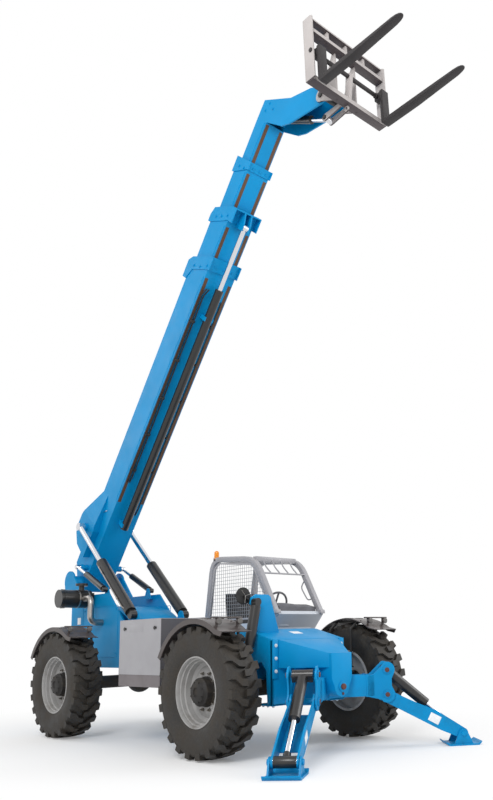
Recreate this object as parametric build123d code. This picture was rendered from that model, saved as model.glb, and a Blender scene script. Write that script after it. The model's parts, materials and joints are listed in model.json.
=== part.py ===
from build123d import *
from math import atan2, cos, degrees, hypot, pi, radians, sin
import os

# Telehandler with front outriggers and a four-section boom, as separate pieces.
# Millimetres and degrees. +X is forward, +Y is the machine's left, +Z is up, ground at Z = 0.
# Shapes are drawn with X = 0 at the rear axle and moved to the middle of the machine's length at the end.

os.makedirs("parts", exist_ok=True)

# ---- running gear -----------------------------------------------------------------------------
wheelbase = 3300
half_track = 1090
tyre_radius = 685
tyre_width = 375
tyre_bead_radius = 350
rim_lip_radius = 366
rim_barrel_wall = 12
rim_width = 316
rim_lip_thickness = 8
rim_disc_offset = 15
rim_disc_thickness = 18
hub_radius = 145
hub_length = 120
hub_root = -70
kingpin_y = 780
kingpin_radius = 38
knuckle_radius = 85
knuckle_half_height = 105
axle_tube_radius = 85
axle_diff_radius = 175
yoke_thickness = 45
axle_height = tyre_radius
pivot_clearance = 0.5
mount_gap = 0.3
fender_gap = 60
fender_wall = 10
fender_strap = 8
fender_post_x = 180
fender_front_angle = 52
fender_rear_angle = 152
fender_inner_y = 915
fender_outer_y = 1285
trunnion_radius = 60

# ---- frame ------------------------------------------------------------------------------------
tower_half = 420
frame_plate = 25
frame_bottom = 700
frame_top = 1290
tower_rear = -1330
tower_bottom = 870
tower_front = 600
hanger_thickness = 60
front_hanger_x = 3700
rear_hanger_x = 2870
nose_half = 517
nose_face_x = 3663
nose_tip_x = 4250
nose_tip_half = 150
nose_top = 1194
nose_bottom = 785
nose_rear_x = 3010
nose_rear_top = 1400
nose_plate = 20
ear_plate = 30

# ---- boom -------------------------------------------------------------------------------------
boom_angle = 51.2
pivot_x = -1450
pivot_z = 2170
boom_axis_w = 132
base_width = 448
base_height = 465
base_tail = -110
base_end = 5300
tail_top_u = 140
second_width = 396
second_height = 415
second_tail = 1150
second_end = 6030
third_width = 344
third_height = 316
third_tail = 1950
third_end = 6765
fly_width = 296
fly_height = 240
fly_tail = 2750
fly_end = 7290
boom_wall = 10
slide_gap = 0.4
collar_wall = 12
collar_slant = 0.33
front_lean = 0.315
bracket_foot = -190
head_half = 148
head_plate = 20
tip_u = 7800
tip_w = -950
tip_radius = 95
lift_pin_u = 829
lift_pin_w = 297
lift_pin_y = 410
slave_pin_u = 278
slave_pin_w = 4
slave_pin_y = 375
hump_outer_y = 325
extension_w = -205
extension_rod_radius = 32
rod_setback = 60
extension_barrel_radius = 58

# ---- rams: base pins, lengths -------------------------------------------------------------------
lift_base_x = 484
lift_base_z = 1590
lift_barrel_length = 1225
lift_rod_length = 1265
lift_barrel_radius = 78
lift_rod_radius = 42
lift_eye_radius = 60
lift_eye_width = 90
slave_base_x = -398
slave_base_z = 1990
slave_barrel_length = 640
slave_rod_length = 640
slave_barrel_radius = 46
slave_rod_radius = 24
slave_eye_radius = 36
slave_eye_width = 70
tilt_base_u = 7385
tilt_base_w = 30
tilt_crank_x = -50
tilt_crank_z = -220
tilt_barrel_length = 760
tilt_rod_length = 760
tilt_barrel_radius = 50
tilt_rod_radius = 27
tilt_eye_radius = 40
tilt_eye_width = 90
sway_top = (3390, -530, 1620)
sway_foot = (3390, -670, 920)
sway_barrel_length = 500
sway_rod_length = 500
sway_barrel_radius = 58
sway_rod_radius = 26
sway_eye_radius = 42
sway_eye_width = 80

# ---- outriggers ---------------------------------------------------------------------------------
leg_pin_x = 4250
leg_pin_y = 606
leg_pin_z = 578
leg_splay = 37.9
ram_pin_rise = 265
foot_pin_reach = 841
foot_pin_drop = 449
housing_inner = 133
housing_plate = 20
housing_lobe = 88
beam_top = 330
beam_bottom = -15
leg_half_width = 128
leg_plate = 20
leg_root = 82
leg_waist = 55
leg_pin_radius = 34
foot_pin_radius = 28
leg_barrel_length = 600
leg_rod_length = 620
leg_barrel_radius = 58
leg_rod_radius = 28
leg_eye_radius = 52
pad_length = 335
pad_width = 347
pad_plate = 20
pad_lip = 32

# ---- fork carriage ------------------------------------------------------------------------------
carriage_lean = 3
carriage_half = 612
carriage_rear = 215
carriage_front = 370
carriage_foot = -225
carriage_head = 595
carriage_plate = 18
fork_y = 520
fork_width = 110
fork_thickness = 50
fork_blade_length = 1220
fork_shank_top = 215
fork_shaft_radius = 25
fork_shaft_z = 130
fork_shaft_x = 330

# ---- engine side and cab ------------------------------------------------------------------------
bay_rear = 1474
bay_front = 2400
bay_outer = 1120
bay_inner = 450
bay_bottom = 700
bay_top = 1477
bay_band = 135
bay_sheet = 6
bay_floor = 12
cab_inner = 355
cab_outer = 1180
cab_rear = 1080
cab_front = 2400
cab_floor = 760
cab_sill = 1420
cab_sheet = 25
rops_bar = 70
rops_top = 2320
arch_opening = [
    (1160, 1420), (1170, 1600), (1330, 2170), (1450, 2250), (2110, 2240), (2170, 2170), (2520, 1560), (2514, 1551.4),
    (2400, 1540), (2280, 1420),
]
beacon_x = 1300
beacon_z = 2262


# ---- drawing helpers ----------------------------------------------------------------------------
def block(x0, x1, y0, y1, z0, z1):
    return Pos((x0 + x1) / 2, (y0 + y1) / 2, (z0 + z1) / 2) * Box(x1 - x0, y1 - y0, z1 - z0)


def outline(points):
    return make_face(Polyline(*points, close=True))


def disc(x, y, radius):
    return Pos(x, y) * Circle(radius)


def side_plate(face, y0, y1):
    # a face drawn as (X, Z), from y0 to y1
    return extrude(Plane(origin=(0, y1, 0), x_dir=(1, 0, 0), z_dir=(0, -1, 0)) * face, amount=y1 - y0)


def cross_plate(face, x0, x1):
    # a face drawn as (Y, Z), from x0 to x1
    return extrude(Plane(origin=(x0, 0, 0), x_dir=(0, 1, 0), z_dir=(1, 0, 0)) * face, amount=x1 - x0)


def plan_plate(face, z0, z1):
    return extrude(Plane.XY.offset(z0) * face, amount=z1 - z0)


def bar(start, end, radius):
    way = Vector(*end) - Vector(*start)
    return extrude(Plane(origin=start, z_dir=way) * Circle(radius), amount=way.length)


def pin_y(x, z, y0, y1, radius):
    return bar((x, y0, z), (x, y1, z), radius)


def pin_x(y, z, x0, x1, radius):
    return bar((x0, y, z), (x1, y, z), radius)


def pin_z(x, y, z0, z1, radius):
    return bar((x, y, z0), (x, y, z1), radius)


def other_side(shape):
    return mirror(shape, about=Plane.XZ)


def both_sides(shape):
    return Part() + [shape, other_side(shape)]


def in_boom(shape):
    # from boom coordinates (X along the boom, Z square to it, pivot at 0) to the machine
    return Location((pivot_x, 0, pivot_z), (0, -boom_angle, 0)) * shape


def boom_point(u, w):
    a = radians(boom_angle)
    return (pivot_x + u * cos(a) - w * sin(a), pivot_z + u * sin(a) + w * cos(a))


def ram(base, eye, pin_way, barrel_length, barrel_radius, rod_length, rod_radius, eye_radius, eye_width):
    # barrel pinned at base, rod with its eye at the other end, both pins along pin_way
    way = Vector(*eye) - Vector(*base)
    length = way.length
    frame = Plane(origin=base, x_dir=way, z_dir=way.cross(Vector(*pin_way)))
    half = eye_width / 2
    neck = eye_radius * 0.8
    barrel = pin_y(0, 0, -half, half, eye_radius) + block(0, eye_radius + 12, -half, half, -neck, neck)
    barrel += pin_x(0, 0, eye_radius + 6, barrel_length, barrel_radius)
    barrel -= pin_x(0, 0, eye_radius + 20, barrel_length + 1, rod_radius + pivot_clearance)
    rod = pin_y(length, 0, -half, half, eye_radius) + pin_x(0, 0, length - rod_length, length, rod_radius)
    return frame.location * barrel, frame.location * rod


# ---- wheels -------------------------------------------------------------------------------------
def tyre():
    half = tyre_width / 2
    seat = rim_width / 2 - rim_lip_thickness - pivot_clearance
    points = [
        (tyre_bead_radius, -seat), (rim_lip_radius + 3, -seat), (rim_lip_radius + 30, -seat - 16),
        (tyre_radius - 165, -half),
        (tyre_radius - 60, -half + 4), (tyre_radius, -half + 36), (tyre_radius, half - 36),
        (tyre_radius - 60, half - 4), (tyre_radius - 165, half), (rim_lip_radius + 30, seat + 16),
        (rim_lip_radius + 3, seat), (tyre_bead_radius, seat),
    ]
    return revolve(outline(points), Axis.Y)


def rim():
    half = rim_width / 2
    seat = tyre_bead_radius - pivot_clearance
    inner = seat - rim_barrel_wall
    barrel = [
        (inner, -half), (rim_lip_radius, -half), (rim_lip_radius, -half + rim_lip_thickness),
        (seat, -half + rim_lip_thickness), (seat, half - rim_lip_thickness),
        (rim_lip_radius, half - rim_lip_thickness), (rim_lip_radius, half), (inner, half),
    ]
    face = rim_disc_offset
    disc_outline = [
        (0, face - rim_disc_thickness), (220, face - rim_disc_thickness), (290, face - rim_disc_thickness - 40),
        (inner + 1, face - rim_disc_thickness - 40), (inner + 1, face - 40), (298, face - 40), (228, face), (0, face),
    ]
    hub = [
        (0, hub_root), (hub_radius - 30, hub_root), (hub_radius - 30, 0), (hub_radius, 0),
        (hub_radius, hub_length - 45), (hub_radius - 45, hub_length), (0, hub_length),
    ]
    return revolve(outline(barrel) + outline(disc_outline) + outline(hub), Axis.Y)


def knuckle():
    # left-hand knuckle, wheel centre at the origin
    inward = kingpin_y - half_track
    body = pin_z(0, inward, -knuckle_half_height, knuckle_half_height, knuckle_radius)
    body += pin_y(0, 0, inward, hub_root - pivot_clearance, knuckle_radius - 5)
    pin_top = knuckle_half_height + yoke_thickness + 12
    body += pin_z(0, inward, -pin_top, pin_top, kingpin_radius)
    body += block(-205, 205, inward - 45, inward + 80, pin_top, pin_top + 15)
    top = tyre_radius + fender_gap - mount_gap
    y0 = fender_inner_y - half_track + 5
    y1 = fender_outer_y - half_track - 15
    post_foot = inward + 60
    for x in (-fender_post_x, fender_post_x):
        near, far = (((top ** 2 - (x + s) ** 2) ** 0.5) for s in (-30, 30))
        strap = outline([(x - 30, near), (x + 30, far), (x + 30, far - fender_strap), (x - 30, near - fender_strap)])
        height = (near + far) / 2 - fender_strap
        elbow = (x, post_foot, height - 95)
        body += bar((x, post_foot, pin_top + 10), elbow, 16)
        body += bar(elbow, (x, y0 + 35, height - 9), 16)
        body += Pos(*elbow) * Sphere(16)
        body += side_plate(strap, y0, y1)
    return body


def fender():
    # left-hand fender, wheel centre at the origin
    inner = tyre_radius + fender_gap
    outer = inner + fender_wall
    front = radians(fender_front_angle)
    rear = radians(fender_rear_angle)

    def at(radius, angle):
        return (radius * cos(angle), radius * sin(angle))
    middle = (front + rear) / 2
    edges = [
        ThreePointArc(at(inner, front), at(inner, middle), at(inner, rear)),
        Line(at(inner, rear), at(outer, rear)),
        ThreePointArc(at(outer, rear), at(outer, middle), at(outer, front)),
        Line(at(outer, front), at(inner, front)),
    ]
    y0 = fender_inner_y - half_track
    y1 = fender_outer_y - half_track
    shell = side_plate(make_face(edges), y0, y1)
    drop = [
        ThreePointArc(at(inner - 25, front), at(inner - 25, middle), at(inner - 25, rear)),
        Line(at(inner - 25, rear), at(outer, rear)),
        ThreePointArc(at(outer, rear), at(outer, middle), at(outer, front)),
        Line(at(outer, front), at(inner - 25, front)),
    ]
    shell += side_plate(make_face(drop), y1, y1 + 8)
    lamp_x = 350
    foot = (outer ** 2 - lamp_x ** 2) ** 0.5
    lamp_top = 762
    rack = block(lamp_x - 15, lamp_x + 15, y0 + 5, y1 + 8, lamp_top - 12, lamp_top)
    for y in (y0 + 60, y1 - 50):
        rack += block(lamp_x - 12, lamp_x + 12, y - 10, y + 10, foot - 6, lamp_top - 12)
        rack += block(lamp_x + 15, lamp_x + 60, y - 45, y + 45, lamp_top - 80, lamp_top - 2)
    return shell + rack


def axle(front):
    # wheel centre line at the origin of X and Z
    body = bar((0, -kingpin_y + 110, 0), (0, kingpin_y - 110, 0), axle_tube_radius)
    body += Pos(0, 0, 0) * Sphere(axle_diff_radius)
    reach = front_hanger_x - wheelbase + hanger_thickness
    if front:
        body += pin_x(0, 0, rear_hanger_x - wheelbase - hanger_thickness / 2, reach, trunnion_radius)
        foot = Vector(*sway_foot) - Vector(wheelbase, 0, axle_height)
        face = foot.X - sway_eye_width / 2 - pivot_clearance
        lug = outline([(foot.Y - 2, foot.Z - 95), (foot.Y + 64, foot.Z - 95), (foot.Y + 42, foot.Z),
                       (foot.Y - 42, foot.Z), (foot.Y - 2, foot.Z - 55)])
        body += cross_plate(lug + disc(foot.Y, foot.Z, sway_eye_radius), face - 25, face)
    else:
        body += block(-150, 150, -250, 250, 40, tower_bottom - axle_height)
    arm_top = knuckle_half_height + pivot_clearance
    yoke = block(-65, 65, kingpin_y - 175, kingpin_y - 118, -arm_top - yoke_thickness, arm_top + yoke_thickness)
    for z in (-arm_top - yoke_thickness, arm_top):
        arm = block(-65, 65, kingpin_y - 175, kingpin_y, z, z + yoke_thickness)
        arm += pin_z(0, kingpin_y, z, z + yoke_thickness, 65)
        yoke += arm
    yoke -= pin_z(0, kingpin_y, -300, 300, kingpin_radius + pivot_clearance)
    return body + yoke + other_side(yoke)


# ---- frame --------------------------------------------------------------------------------------
def rear_tower():
    lug = 165
    side = outline([
        (tower_rear, tower_bottom), (tower_front, tower_bottom), (tower_front, 1420), (239, 1530), (-190, 1925),
        (-1000, 1925), (pivot_x + 150, pivot_z + 60),
        (pivot_x - lug, pivot_z), (pivot_x - 140, 2040), (tower_rear, 1800),
    ]) + disc(pivot_x, pivot_z, lug)
    inner = tower_half - frame_plate
    plate = side_plate(side, inner, tower_half)
    plate -= pin_y(pivot_x, pivot_z, 0, 600, 70 + pivot_clearance)
    body = both_sides(plate)
    body += block(tower_rear, tower_rear + 20, -inner, inner, tower_bottom, 1780)
    body += block(tower_rear, tower_front, -inner, inner, tower_bottom, tower_bottom + 20)
    for x, z, width, eye in ((lift_base_x, lift_base_z, lift_eye_width, lift_eye_radius),
                             (slave_base_x, slave_base_z, slave_eye_width, slave_eye_radius)):
        y = lift_pin_y if z == lift_base_z else slave_pin_y
        near = y - width / 2 - pivot_clearance
        cheek = outline([(x - eye - 60, z - 130), (x + eye + 60, z - 130), (x + eye, z), (x - eye, z)])
        cheek = side_plate(cheek + disc(x, z, eye), near - 20, near)
        link = block(x - eye, x + eye, near - 20, tower_half, z - 130, z - eye - 50)
        body += both_sides(cheek + link)
    return body


def hood():
    inner = tower_half - frame_plate
    skin = 8
    edges = [
        Line((-1100, 1740), (-300, 1740)),
        ThreePointArc((-300, 1740), (150, 1650), (480, 1440)),
        Line((480, 1440), (480 - skin, 1440 - skin)),
        ThreePointArc((480 - skin, 1440 - skin), (147, 1650 - skin), (-300, 1740 - skin)),
        Line((-300, 1740 - skin), (-1100, 1740 - skin)),
        Line((-1100, 1740 - skin), (-1100, 1740)),
    ]
    return side_plate(make_face(edges), -inner, inner)


def chassis():
    inner = tower_half - frame_plate
    side = outline([
        (tower_front, tower_bottom), (680, frame_bottom), (2700, frame_bottom), (2800, 990), (nose_rear_x, 990),
        (nose_rear_x, frame_top), (1200, frame_top), (900, 1400), (tower_front, 1400),
    ])
    body = both_sides(side_plate(side, inner, tower_half))
    body += block(680, 2700, -inner, inner, frame_bottom, frame_bottom + 20)
    body += block(900, nose_rear_x, -inner, inner, frame_top - 20, frame_top)
    hanger = cross_plate(outline([(-inner, 1010), (-inner, 990), (-150, 560), (150, 560), (inner, 990), (inner, 1010)]),
                         rear_hanger_x - hanger_thickness / 2, rear_hanger_x + hanger_thickness / 2)
    hanger -= pin_x(0, axle_height, 2000, 4500, trunnion_radius + pivot_clearance)
    body += hanger
    body += block(2800, nose_rear_x, -inner, inner, 990, 1010)
    return body


def nose():
    side = outline([
        (nose_rear_x, 1010), (nose_rear_x, nose_rear_top - 40), (3200, 1372), (nose_face_x, nose_top),
        (nose_face_x, 560), (3580, 560), (3560, 880), (3480, 960), (3200, 960),
    ])
    body = both_sides(side_plate(side, nose_half - nose_plate, nose_half))
    inner = nose_half - nose_plate
    top = outline([(nose_rear_x, nose_rear_top - 60), (nose_rear_x, nose_rear_top - 40), (3200, 1372),
                   (nose_face_x, nose_top), (nose_face_x, nose_top - 20), (3200, 1352)])
    body += side_plate(top, -inner, inner)
    wedge = outline([(nose_face_x, -nose_half), (nose_tip_x - 50, -nose_tip_half), (nose_tip_x - 50, nose_tip_half),
                     (nose_face_x, nose_half)])
    body += plan_plate(wedge, nose_bottom + 110, nose_top)
    body += block(nose_tip_x - 310, nose_tip_x, -nose_tip_half, nose_tip_half, 470, 1040)
    body += pin_x(0, 690, nose_tip_x, nose_tip_x + 45, 62)
    body += cross_plate(outline([(-nose_half, 560), (nose_half, 560), (nose_half, nose_top - 10),
                                 (-nose_half, nose_top - 10)]), nose_face_x - 25, nose_face_x)
    body += block(nose_rear_x, nose_rear_x + 20, -nose_half, nose_half, 1010, nose_rear_top - 45)
    hanger = cross_plate(outline([(-250, 900), (-250, 560), (250, 560), (250, 900)]),
                         front_hanger_x - hanger_thickness / 2, front_hanger_x + hanger_thickness / 2)
    body += hanger
    beams = housing()
    body += beams + other_side(beams)
    body -= pin_x(0, axle_height, wheelbase, front_hanger_x + hanger_thickness + 10, trunnion_radius + pivot_clearance)
    face = sway_top[0] - sway_eye_width / 2 - pivot_clearance
    top = (sway_top[1], sway_top[2])
    ear = outline([(-480, 1200), (-230, 1200), (-230, 1330), (-400, 1600), (top[0] + 25, top[1] + 40),
                   (top[0] - 45, top[1]), (top[0] - 20, top[1] - 40), (top[0] + 20, top[1] - 43),
                   (top[0] + 48, top[1] - 62), (-480, 1400)])
    ear += disc(*top, sway_eye_radius + 4)
    body += cross_plate(ear, face - ear_plate, face)
    return body


def leg_frame():
    return Location((leg_pin_x, leg_pin_y, leg_pin_z), (0, 0, 90 - leg_splay))


def housing():
    # left outrigger's beam and its two lobed plates
    lobes = outline([(-60, beam_bottom - 40), (0, -housing_lobe), (housing_lobe * 0.9, 0), (40, ram_pin_rise / 2),
                     (housing_lobe * 0.9, ram_pin_rise), (0, ram_pin_rise + housing_lobe), (-160, beam_top),
                     (-230, beam_top), (-230, beam_bottom)])
    lobes += disc(0, 0, housing_lobe)
    lobes += disc(0, ram_pin_rise, housing_lobe)
    outer = housing_inner + housing_plate
    cheek = side_plate(lobes, housing_inner, outer)
    cheek -= pin_y(0, 0, 0, 400, leg_pin_radius + pivot_clearance)
    cheek += pin_y(0, ram_pin_rise, leg_half_width - leg_plate, outer + 18, 36)
    pair = cheek + mirror(cheek, about=Plane.XZ)
    pair += block(-700, -140, -outer, housing_inner, beam_bottom, beam_top)
    return leg_frame() * pair


# ---- outriggers (left, mirrored for the right) -----------------------------------------------------
def leg():
    length = hypot(foot_pin_reach, foot_pin_drop)
    plate = outline([(0, -leg_root), (length * 0.75, -80), (length, -58), (length, 58), (length * 0.6, 88),
                     (length * 0.35, leg_waist + 9), (length * 0.15, leg_waist), (0, leg_waist)])
    plate += disc(0, 0, leg_root)
    plate += disc(length, 0, 58)
    cheek = side_plate(plate, leg_half_width - leg_plate, leg_half_width)
    cheek -= pin_y(length, 0, 0, 300, foot_pin_radius + pivot_clearance)
    body = cheek + mirror(cheek, about=Plane.XZ)
    inner = leg_half_width - leg_plate
    body += block(130, length * 0.75, -inner, inner, -80, -65)
    outer = housing_inner + housing_plate
    body += pin_y(0, 0, -outer - 18, outer + 18, leg_pin_radius)
    turn = Location((0, 0, 0), (0, degrees(atan2(foot_pin_drop, foot_pin_reach)), 0))
    return leg_frame() * (turn * body)


def pad():
    half = pad_length / 2
    wide = pad_width / 2
    inner = leg_half_width + 6
    body = block(-half, half, -wide, wide, 0, pad_plate)
    for s in (-1, 1):
        lip = outline([(s * half, 0), (s * (half + pad_lip), pad_lip), (s * (half + pad_lip), pad_lip + 12),
                       (s * (half - 10), pad_plate)])
        body += side_plate(lip, -wide, wide)
    pin_height = leg_pin_z - foot_pin_drop
    ear = outline([(-110, 10), (110, 10), (40, pin_height + 30), (-40, pin_height + 30)])
    ear += disc(0, pin_height, 50)
    ear = side_plate(ear, inner, inner + 18)
    body += both_sides(ear)
    pin = pin_y(0, pin_height, leg_half_width - leg_plate + 1, inner + 34, foot_pin_radius)
    body += both_sides(pin)
    return leg_frame() * (Pos(foot_pin_reach, 0, -leg_pin_z) * body)


def leg_rams():
    spin = radians(90 - leg_splay)
    way = (cos(spin), sin(spin))
    base = (leg_pin_x, leg_pin_y, leg_pin_z + ram_pin_rise)
    eye = (leg_pin_x + foot_pin_reach * way[0], leg_pin_y + foot_pin_reach * way[1], leg_pin_z - foot_pin_drop)
    width = 2 * (leg_half_width - leg_plate - pivot_clearance)
    return ram(base, eye, (-way[1], way[0], 0), leg_barrel_length, leg_barrel_radius, leg_rod_length,
               leg_rod_radius, leg_eye_radius, width)


# ---- boom, drawn in boom coordinates ----------------------------------------------------------------
def span(height):
    # underside and top of a section, square to the boom
    return boom_axis_w - height / 2, boom_axis_w + height / 2


def section(width, height, start, end, lean):
    # rectangular tube whose front end leans forward towards the underside
    low, high = span(height)
    side = outline([(start, low), (end + height * lean, low), (end, high), (start, high)])
    tube = side_plate(side, -width / 2, width / 2)
    inner = width / 2 - boom_wall
    return tube - block(start - 1, end + height, -inner, inner, low + boom_wall, high - boom_wall)


def collar(width, height, next_width, next_height, end, lean, lap, ridge, reach, setback, foot):
    # plates lapped round a section's end: lap back from the end, a ridge on top, down to foot below,
    # and inside them the pads that the next section slides on
    low, high = span(height)
    rear = end - lap
    rear_low = rear + height * collar_slant
    front_low = end + height * lean
    side = [
        (rear_low, foot), (rear_low, low), (rear + 90 * collar_slant, high - 90), (rear - reach, high - 1),
        (rear - reach, high + ridge), (end - setback, high + ridge), (end, high), (front_low, low), (front_low, foot),
    ]
    ring = both_sides(side_plate(outline(side), width / 2 - 1, width / 2 + collar_wall))
    top = outline([(rear - reach, high - 1), (rear - reach, high + ridge - 12), (end - setback, high + ridge - 12),
                   (end, high - 1)])
    under = outline([(rear_low, low - 14), (rear_low - 2, low + 1), (front_low, low + 1), (front_low, low - 14)])
    ring += side_plate(top, -width / 2, width / 2) + side_plate(under, -width / 2, width / 2)
    gap_side = next_width / 2 + slide_gap
    next_low, next_high = span(next_height)
    inner = width / 2 - boom_wall
    for z0, z1 in ((low + boom_wall - 1, next_low - slide_gap), (next_high + slide_gap, high - boom_wall + 1)):
        ring += block(end - 160, end - 20, -next_width / 2 + 30, next_width / 2 - 30, z0, z1)
    ring += both_sides(block(end - 160, end - 20, gap_side, inner + 1, boom_axis_w - 80, boom_axis_w + 80))
    return ring


def boom_base():
    body = section(base_width, base_height, base_tail, base_end, front_lean)
    top = boom_axis_w + base_height / 2
    body -= side_plate(outline([(-600, 50), (-155, 50), (tail_top_u, top), (tail_top_u, 700), (-600, 700)]), -300, 300)
    body += collar(base_width, base_height, second_width, second_height, base_end, front_lean,
                   lap=190, ridge=88, reach=130, setback=76, foot=span(base_height)[0] - 44)
    body += pin_y(0, 0, -tower_half, tower_half, 70)
    body += pin_y(0, 0, -tower_half + frame_plate + 2, tower_half - frame_plate - 2, 95)
    plan = outline([(430, base_width / 2 - 2), (430, hump_outer_y), (1000, hump_outer_y), (1500, base_width / 2 - 2)])
    hump = extrude(Plane.XY.offset(60) * plan, amount=600)
    face = outline([(430, 60), (470, 380), (600, 530), (760, 565), (930, 560), (1500, 345), (1500, 200), (900, 60)])
    hump = hump & side_plate(face, 0, 500)
    hump += pin_y(lift_pin_u, lift_pin_w, base_width / 2 - 2, lift_pin_y - lift_eye_width / 2 - pivot_clearance,
                  lift_eye_radius + 6)
    slave = pin_y(slave_pin_u, slave_pin_w, base_width / 2 - 2,
                  slave_pin_y - slave_eye_width / 2 - pivot_clearance, slave_eye_radius + 8)
    body += hump + other_side(hump) + slave + other_side(slave)
    floor = boom_axis_w - base_height / 2
    hangers = block(1180, 1240, -70, 70, extension_w - 30, floor + 1)
    hangers += block(4600, 4660, -70, 70, extension_w - 30, floor + 1)
    hangers -= pin_x(0, extension_w, 1100, 4700, extension_barrel_radius)
    return in_boom(body + hangers)


def boom_second():
    body = section(second_width, second_height, second_tail, second_end, front_lean)
    body += collar(second_width, second_height, third_width, third_height, second_end, front_lean,
                   lap=205, ridge=46, reach=0, setback=105, foot=bracket_foot)
    low = span(second_height)[0]
    front = second_end + second_height * front_lean
    outer = second_width / 2 + collar_wall
    body += block(front - 16, front, -outer, outer, bracket_foot, low)
    eye = second_end - rod_setback
    gusset = outline([(eye - 45, extension_w - 45), (eye - 45, low - 13), (front - 10, low - 13),
                      (front - 10, bracket_foot), (eye + 50, extension_w - 45)])
    body += both_sides(side_plate(gusset, 42, 60))
    return in_boom(body)


def boom_third():
    body = section(third_width, third_height, third_tail, third_end, 0)
    body += collar(third_width, third_height, fly_width, fly_height, third_end, 0,
                   lap=210, ridge=28, reach=0, setback=0, foot=span(third_height)[0] - 30)
    return in_boom(body)


def boom_fly():
    return in_boom(section(fly_width, fly_height, fly_tail, fly_end, 0))


def boom_head():
    top = boom_axis_w + fly_height / 2
    low = boom_axis_w - fly_height / 2
    side = outline([(fly_end, top), (fly_end, low), (fly_end + 25, -345), (fly_end + 85, -500),
                    (tip_u - 85, tip_w - 45), (tip_u + 95, tip_w + 20), (tip_u + 45, -660), (7665, -320), (7535, 245)])
    side += disc(tip_u, tip_w, tip_radius)
    cheek = side_plate(side, head_half - head_plate, head_half)
    cheek -= pin_y(tip_u, tip_w, 0, 300, 36 + pivot_clearance)
    inner = head_half - head_plate
    skin = 18
    front = outline([(fly_end, top), (7535, 245), (7665, -320), (tip_u + 45, -660), (tip_u + 45 - skin, -660),
                     (7665 - skin, -320), (7535 - skin, 245 - skin), (fly_end, top - skin)])
    body = both_sides(cheek) + side_plate(front, -inner, inner)
    stub = pin_y(tilt_base_u, tilt_base_w, tilt_eye_width / 2 + pivot_clearance, inner + 1, 45)
    body += both_sides(stub)
    return in_boom(body)


def extension_ram():
    start = 1150
    end = base_end - 230
    barrel = pin_x(0, extension_w, start, end, extension_barrel_radius)
    barrel -= pin_x(0, extension_w, start + 60, end + 1, extension_rod_radius + pivot_clearance)
    eye = second_end - rod_setback
    rod = pin_x(0, extension_w, start + 620, eye, extension_rod_radius)
    rod += pin_y(eye, extension_w, -42, 42, 42)
    return in_boom(barrel), in_boom(rod)


# ---- rams on the machine ----------------------------------------------------------------------------
def lift_rams():
    eye = boom_point(lift_pin_u, lift_pin_w)
    barrel, rod = ram((lift_base_x, lift_pin_y, lift_base_z), (eye[0], lift_pin_y, eye[1]), (0, 1, 0),
                      lift_barrel_length, lift_barrel_radius, lift_rod_length, lift_rod_radius,
                      lift_eye_radius, lift_eye_width)
    return both_sides(barrel), both_sides(rod)


def slave_rams():
    eye = boom_point(slave_pin_u, slave_pin_w)
    barrel, rod = ram((slave_base_x, slave_pin_y, slave_base_z), (eye[0], slave_pin_y, eye[1]), (0, 1, 0),
                      slave_barrel_length, slave_barrel_radius, slave_rod_length, slave_rod_radius,
                      slave_eye_radius, slave_eye_width)
    return both_sides(barrel), both_sides(rod)


def tip_point():
    return boom_point(tip_u, tip_w)


def tilt_ram():
    base = boom_point(tilt_base_u, tilt_base_w)
    tip = tip_point()
    return ram((base[0], 0, base[1]), (tip[0] + tilt_crank_x, 0, tip[1] + tilt_crank_z), (0, 1, 0),
               tilt_barrel_length, tilt_barrel_radius, tilt_rod_length, tilt_rod_radius,
               tilt_eye_radius, tilt_eye_width)


def sway_ram():
    return ram(sway_top, sway_foot, (1, 0, 0), sway_barrel_length, sway_barrel_radius, sway_rod_length,
               sway_rod_radius, sway_eye_radius, sway_eye_width)


# ---- fork carriage, drawn about its pivot ---------------------------------------------------------
def in_carriage(shape):
    tip = tip_point()
    return Location((tip[0], 0, tip[1]), (0, -carriage_lean, 0)) * shape


def carriage():
    half = carriage_half
    front = carriage_front
    plate = outline([(carriage_rear, carriage_foot), (front, carriage_foot), (front, carriage_head - 20),
                     (front - 30, carriage_head), (carriage_rear, carriage_head)])
    plate = side_plate(plate, half - carriage_plate, half)
    plate -= pin_y(fork_shaft_x, fork_shaft_z, 0, 900, fork_shaft_radius + pivot_clearance)
    body = both_sides(plate)
    inner = half - carriage_plate
    body += block(carriage_rear, front - 40, -inner, inner, carriage_foot, carriage_foot + 60)
    body += block(carriage_rear + 20, carriage_rear + 60, -inner, inner, 370, 450)
    body += block(carriage_rear + 20, carriage_rear + 60, -inner, inner, carriage_head - 55, carriage_head - 5)
    for y in (-300, 0, 300):
        body += block(carriage_rear + 25, carriage_rear + 55, y - 25, y + 25, 445, carriage_head - 50)
    near = head_half + 3
    cheek = outline([(0, -85), (carriage_rear + 30, carriage_foot), (carriage_rear + 60, carriage_foot),
                     (carriage_rear + 60, 420), (carriage_rear + 10, 420), (60, 70), (0, 85)]) + disc(0, 0, 85)
    cheek = side_plate(cheek, near, near + 20)
    cheek += pin_y(0, 0, head_half - head_plate - 10, near + 36, 36)
    body += both_sides(cheek)
    lean = radians(carriage_lean)
    crank_x = tilt_crank_x * cos(lean) + tilt_crank_z * sin(lean)
    crank_z = -tilt_crank_x * sin(lean) + tilt_crank_z * cos(lean)
    lug = outline([(crank_x - 40, crank_z), (crank_x, crank_z - 45), (carriage_rear + 10, carriage_foot - 10),
                   (carriage_rear + 10, carriage_foot + 50), (crank_x, crank_z + 45)]) + disc(crank_x, crank_z, 45)
    lug = side_plate(lug, tilt_eye_width / 2 + pivot_clearance, tilt_eye_width / 2 + 20)
    body += both_sides(lug)
    return in_carriage(body)


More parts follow.
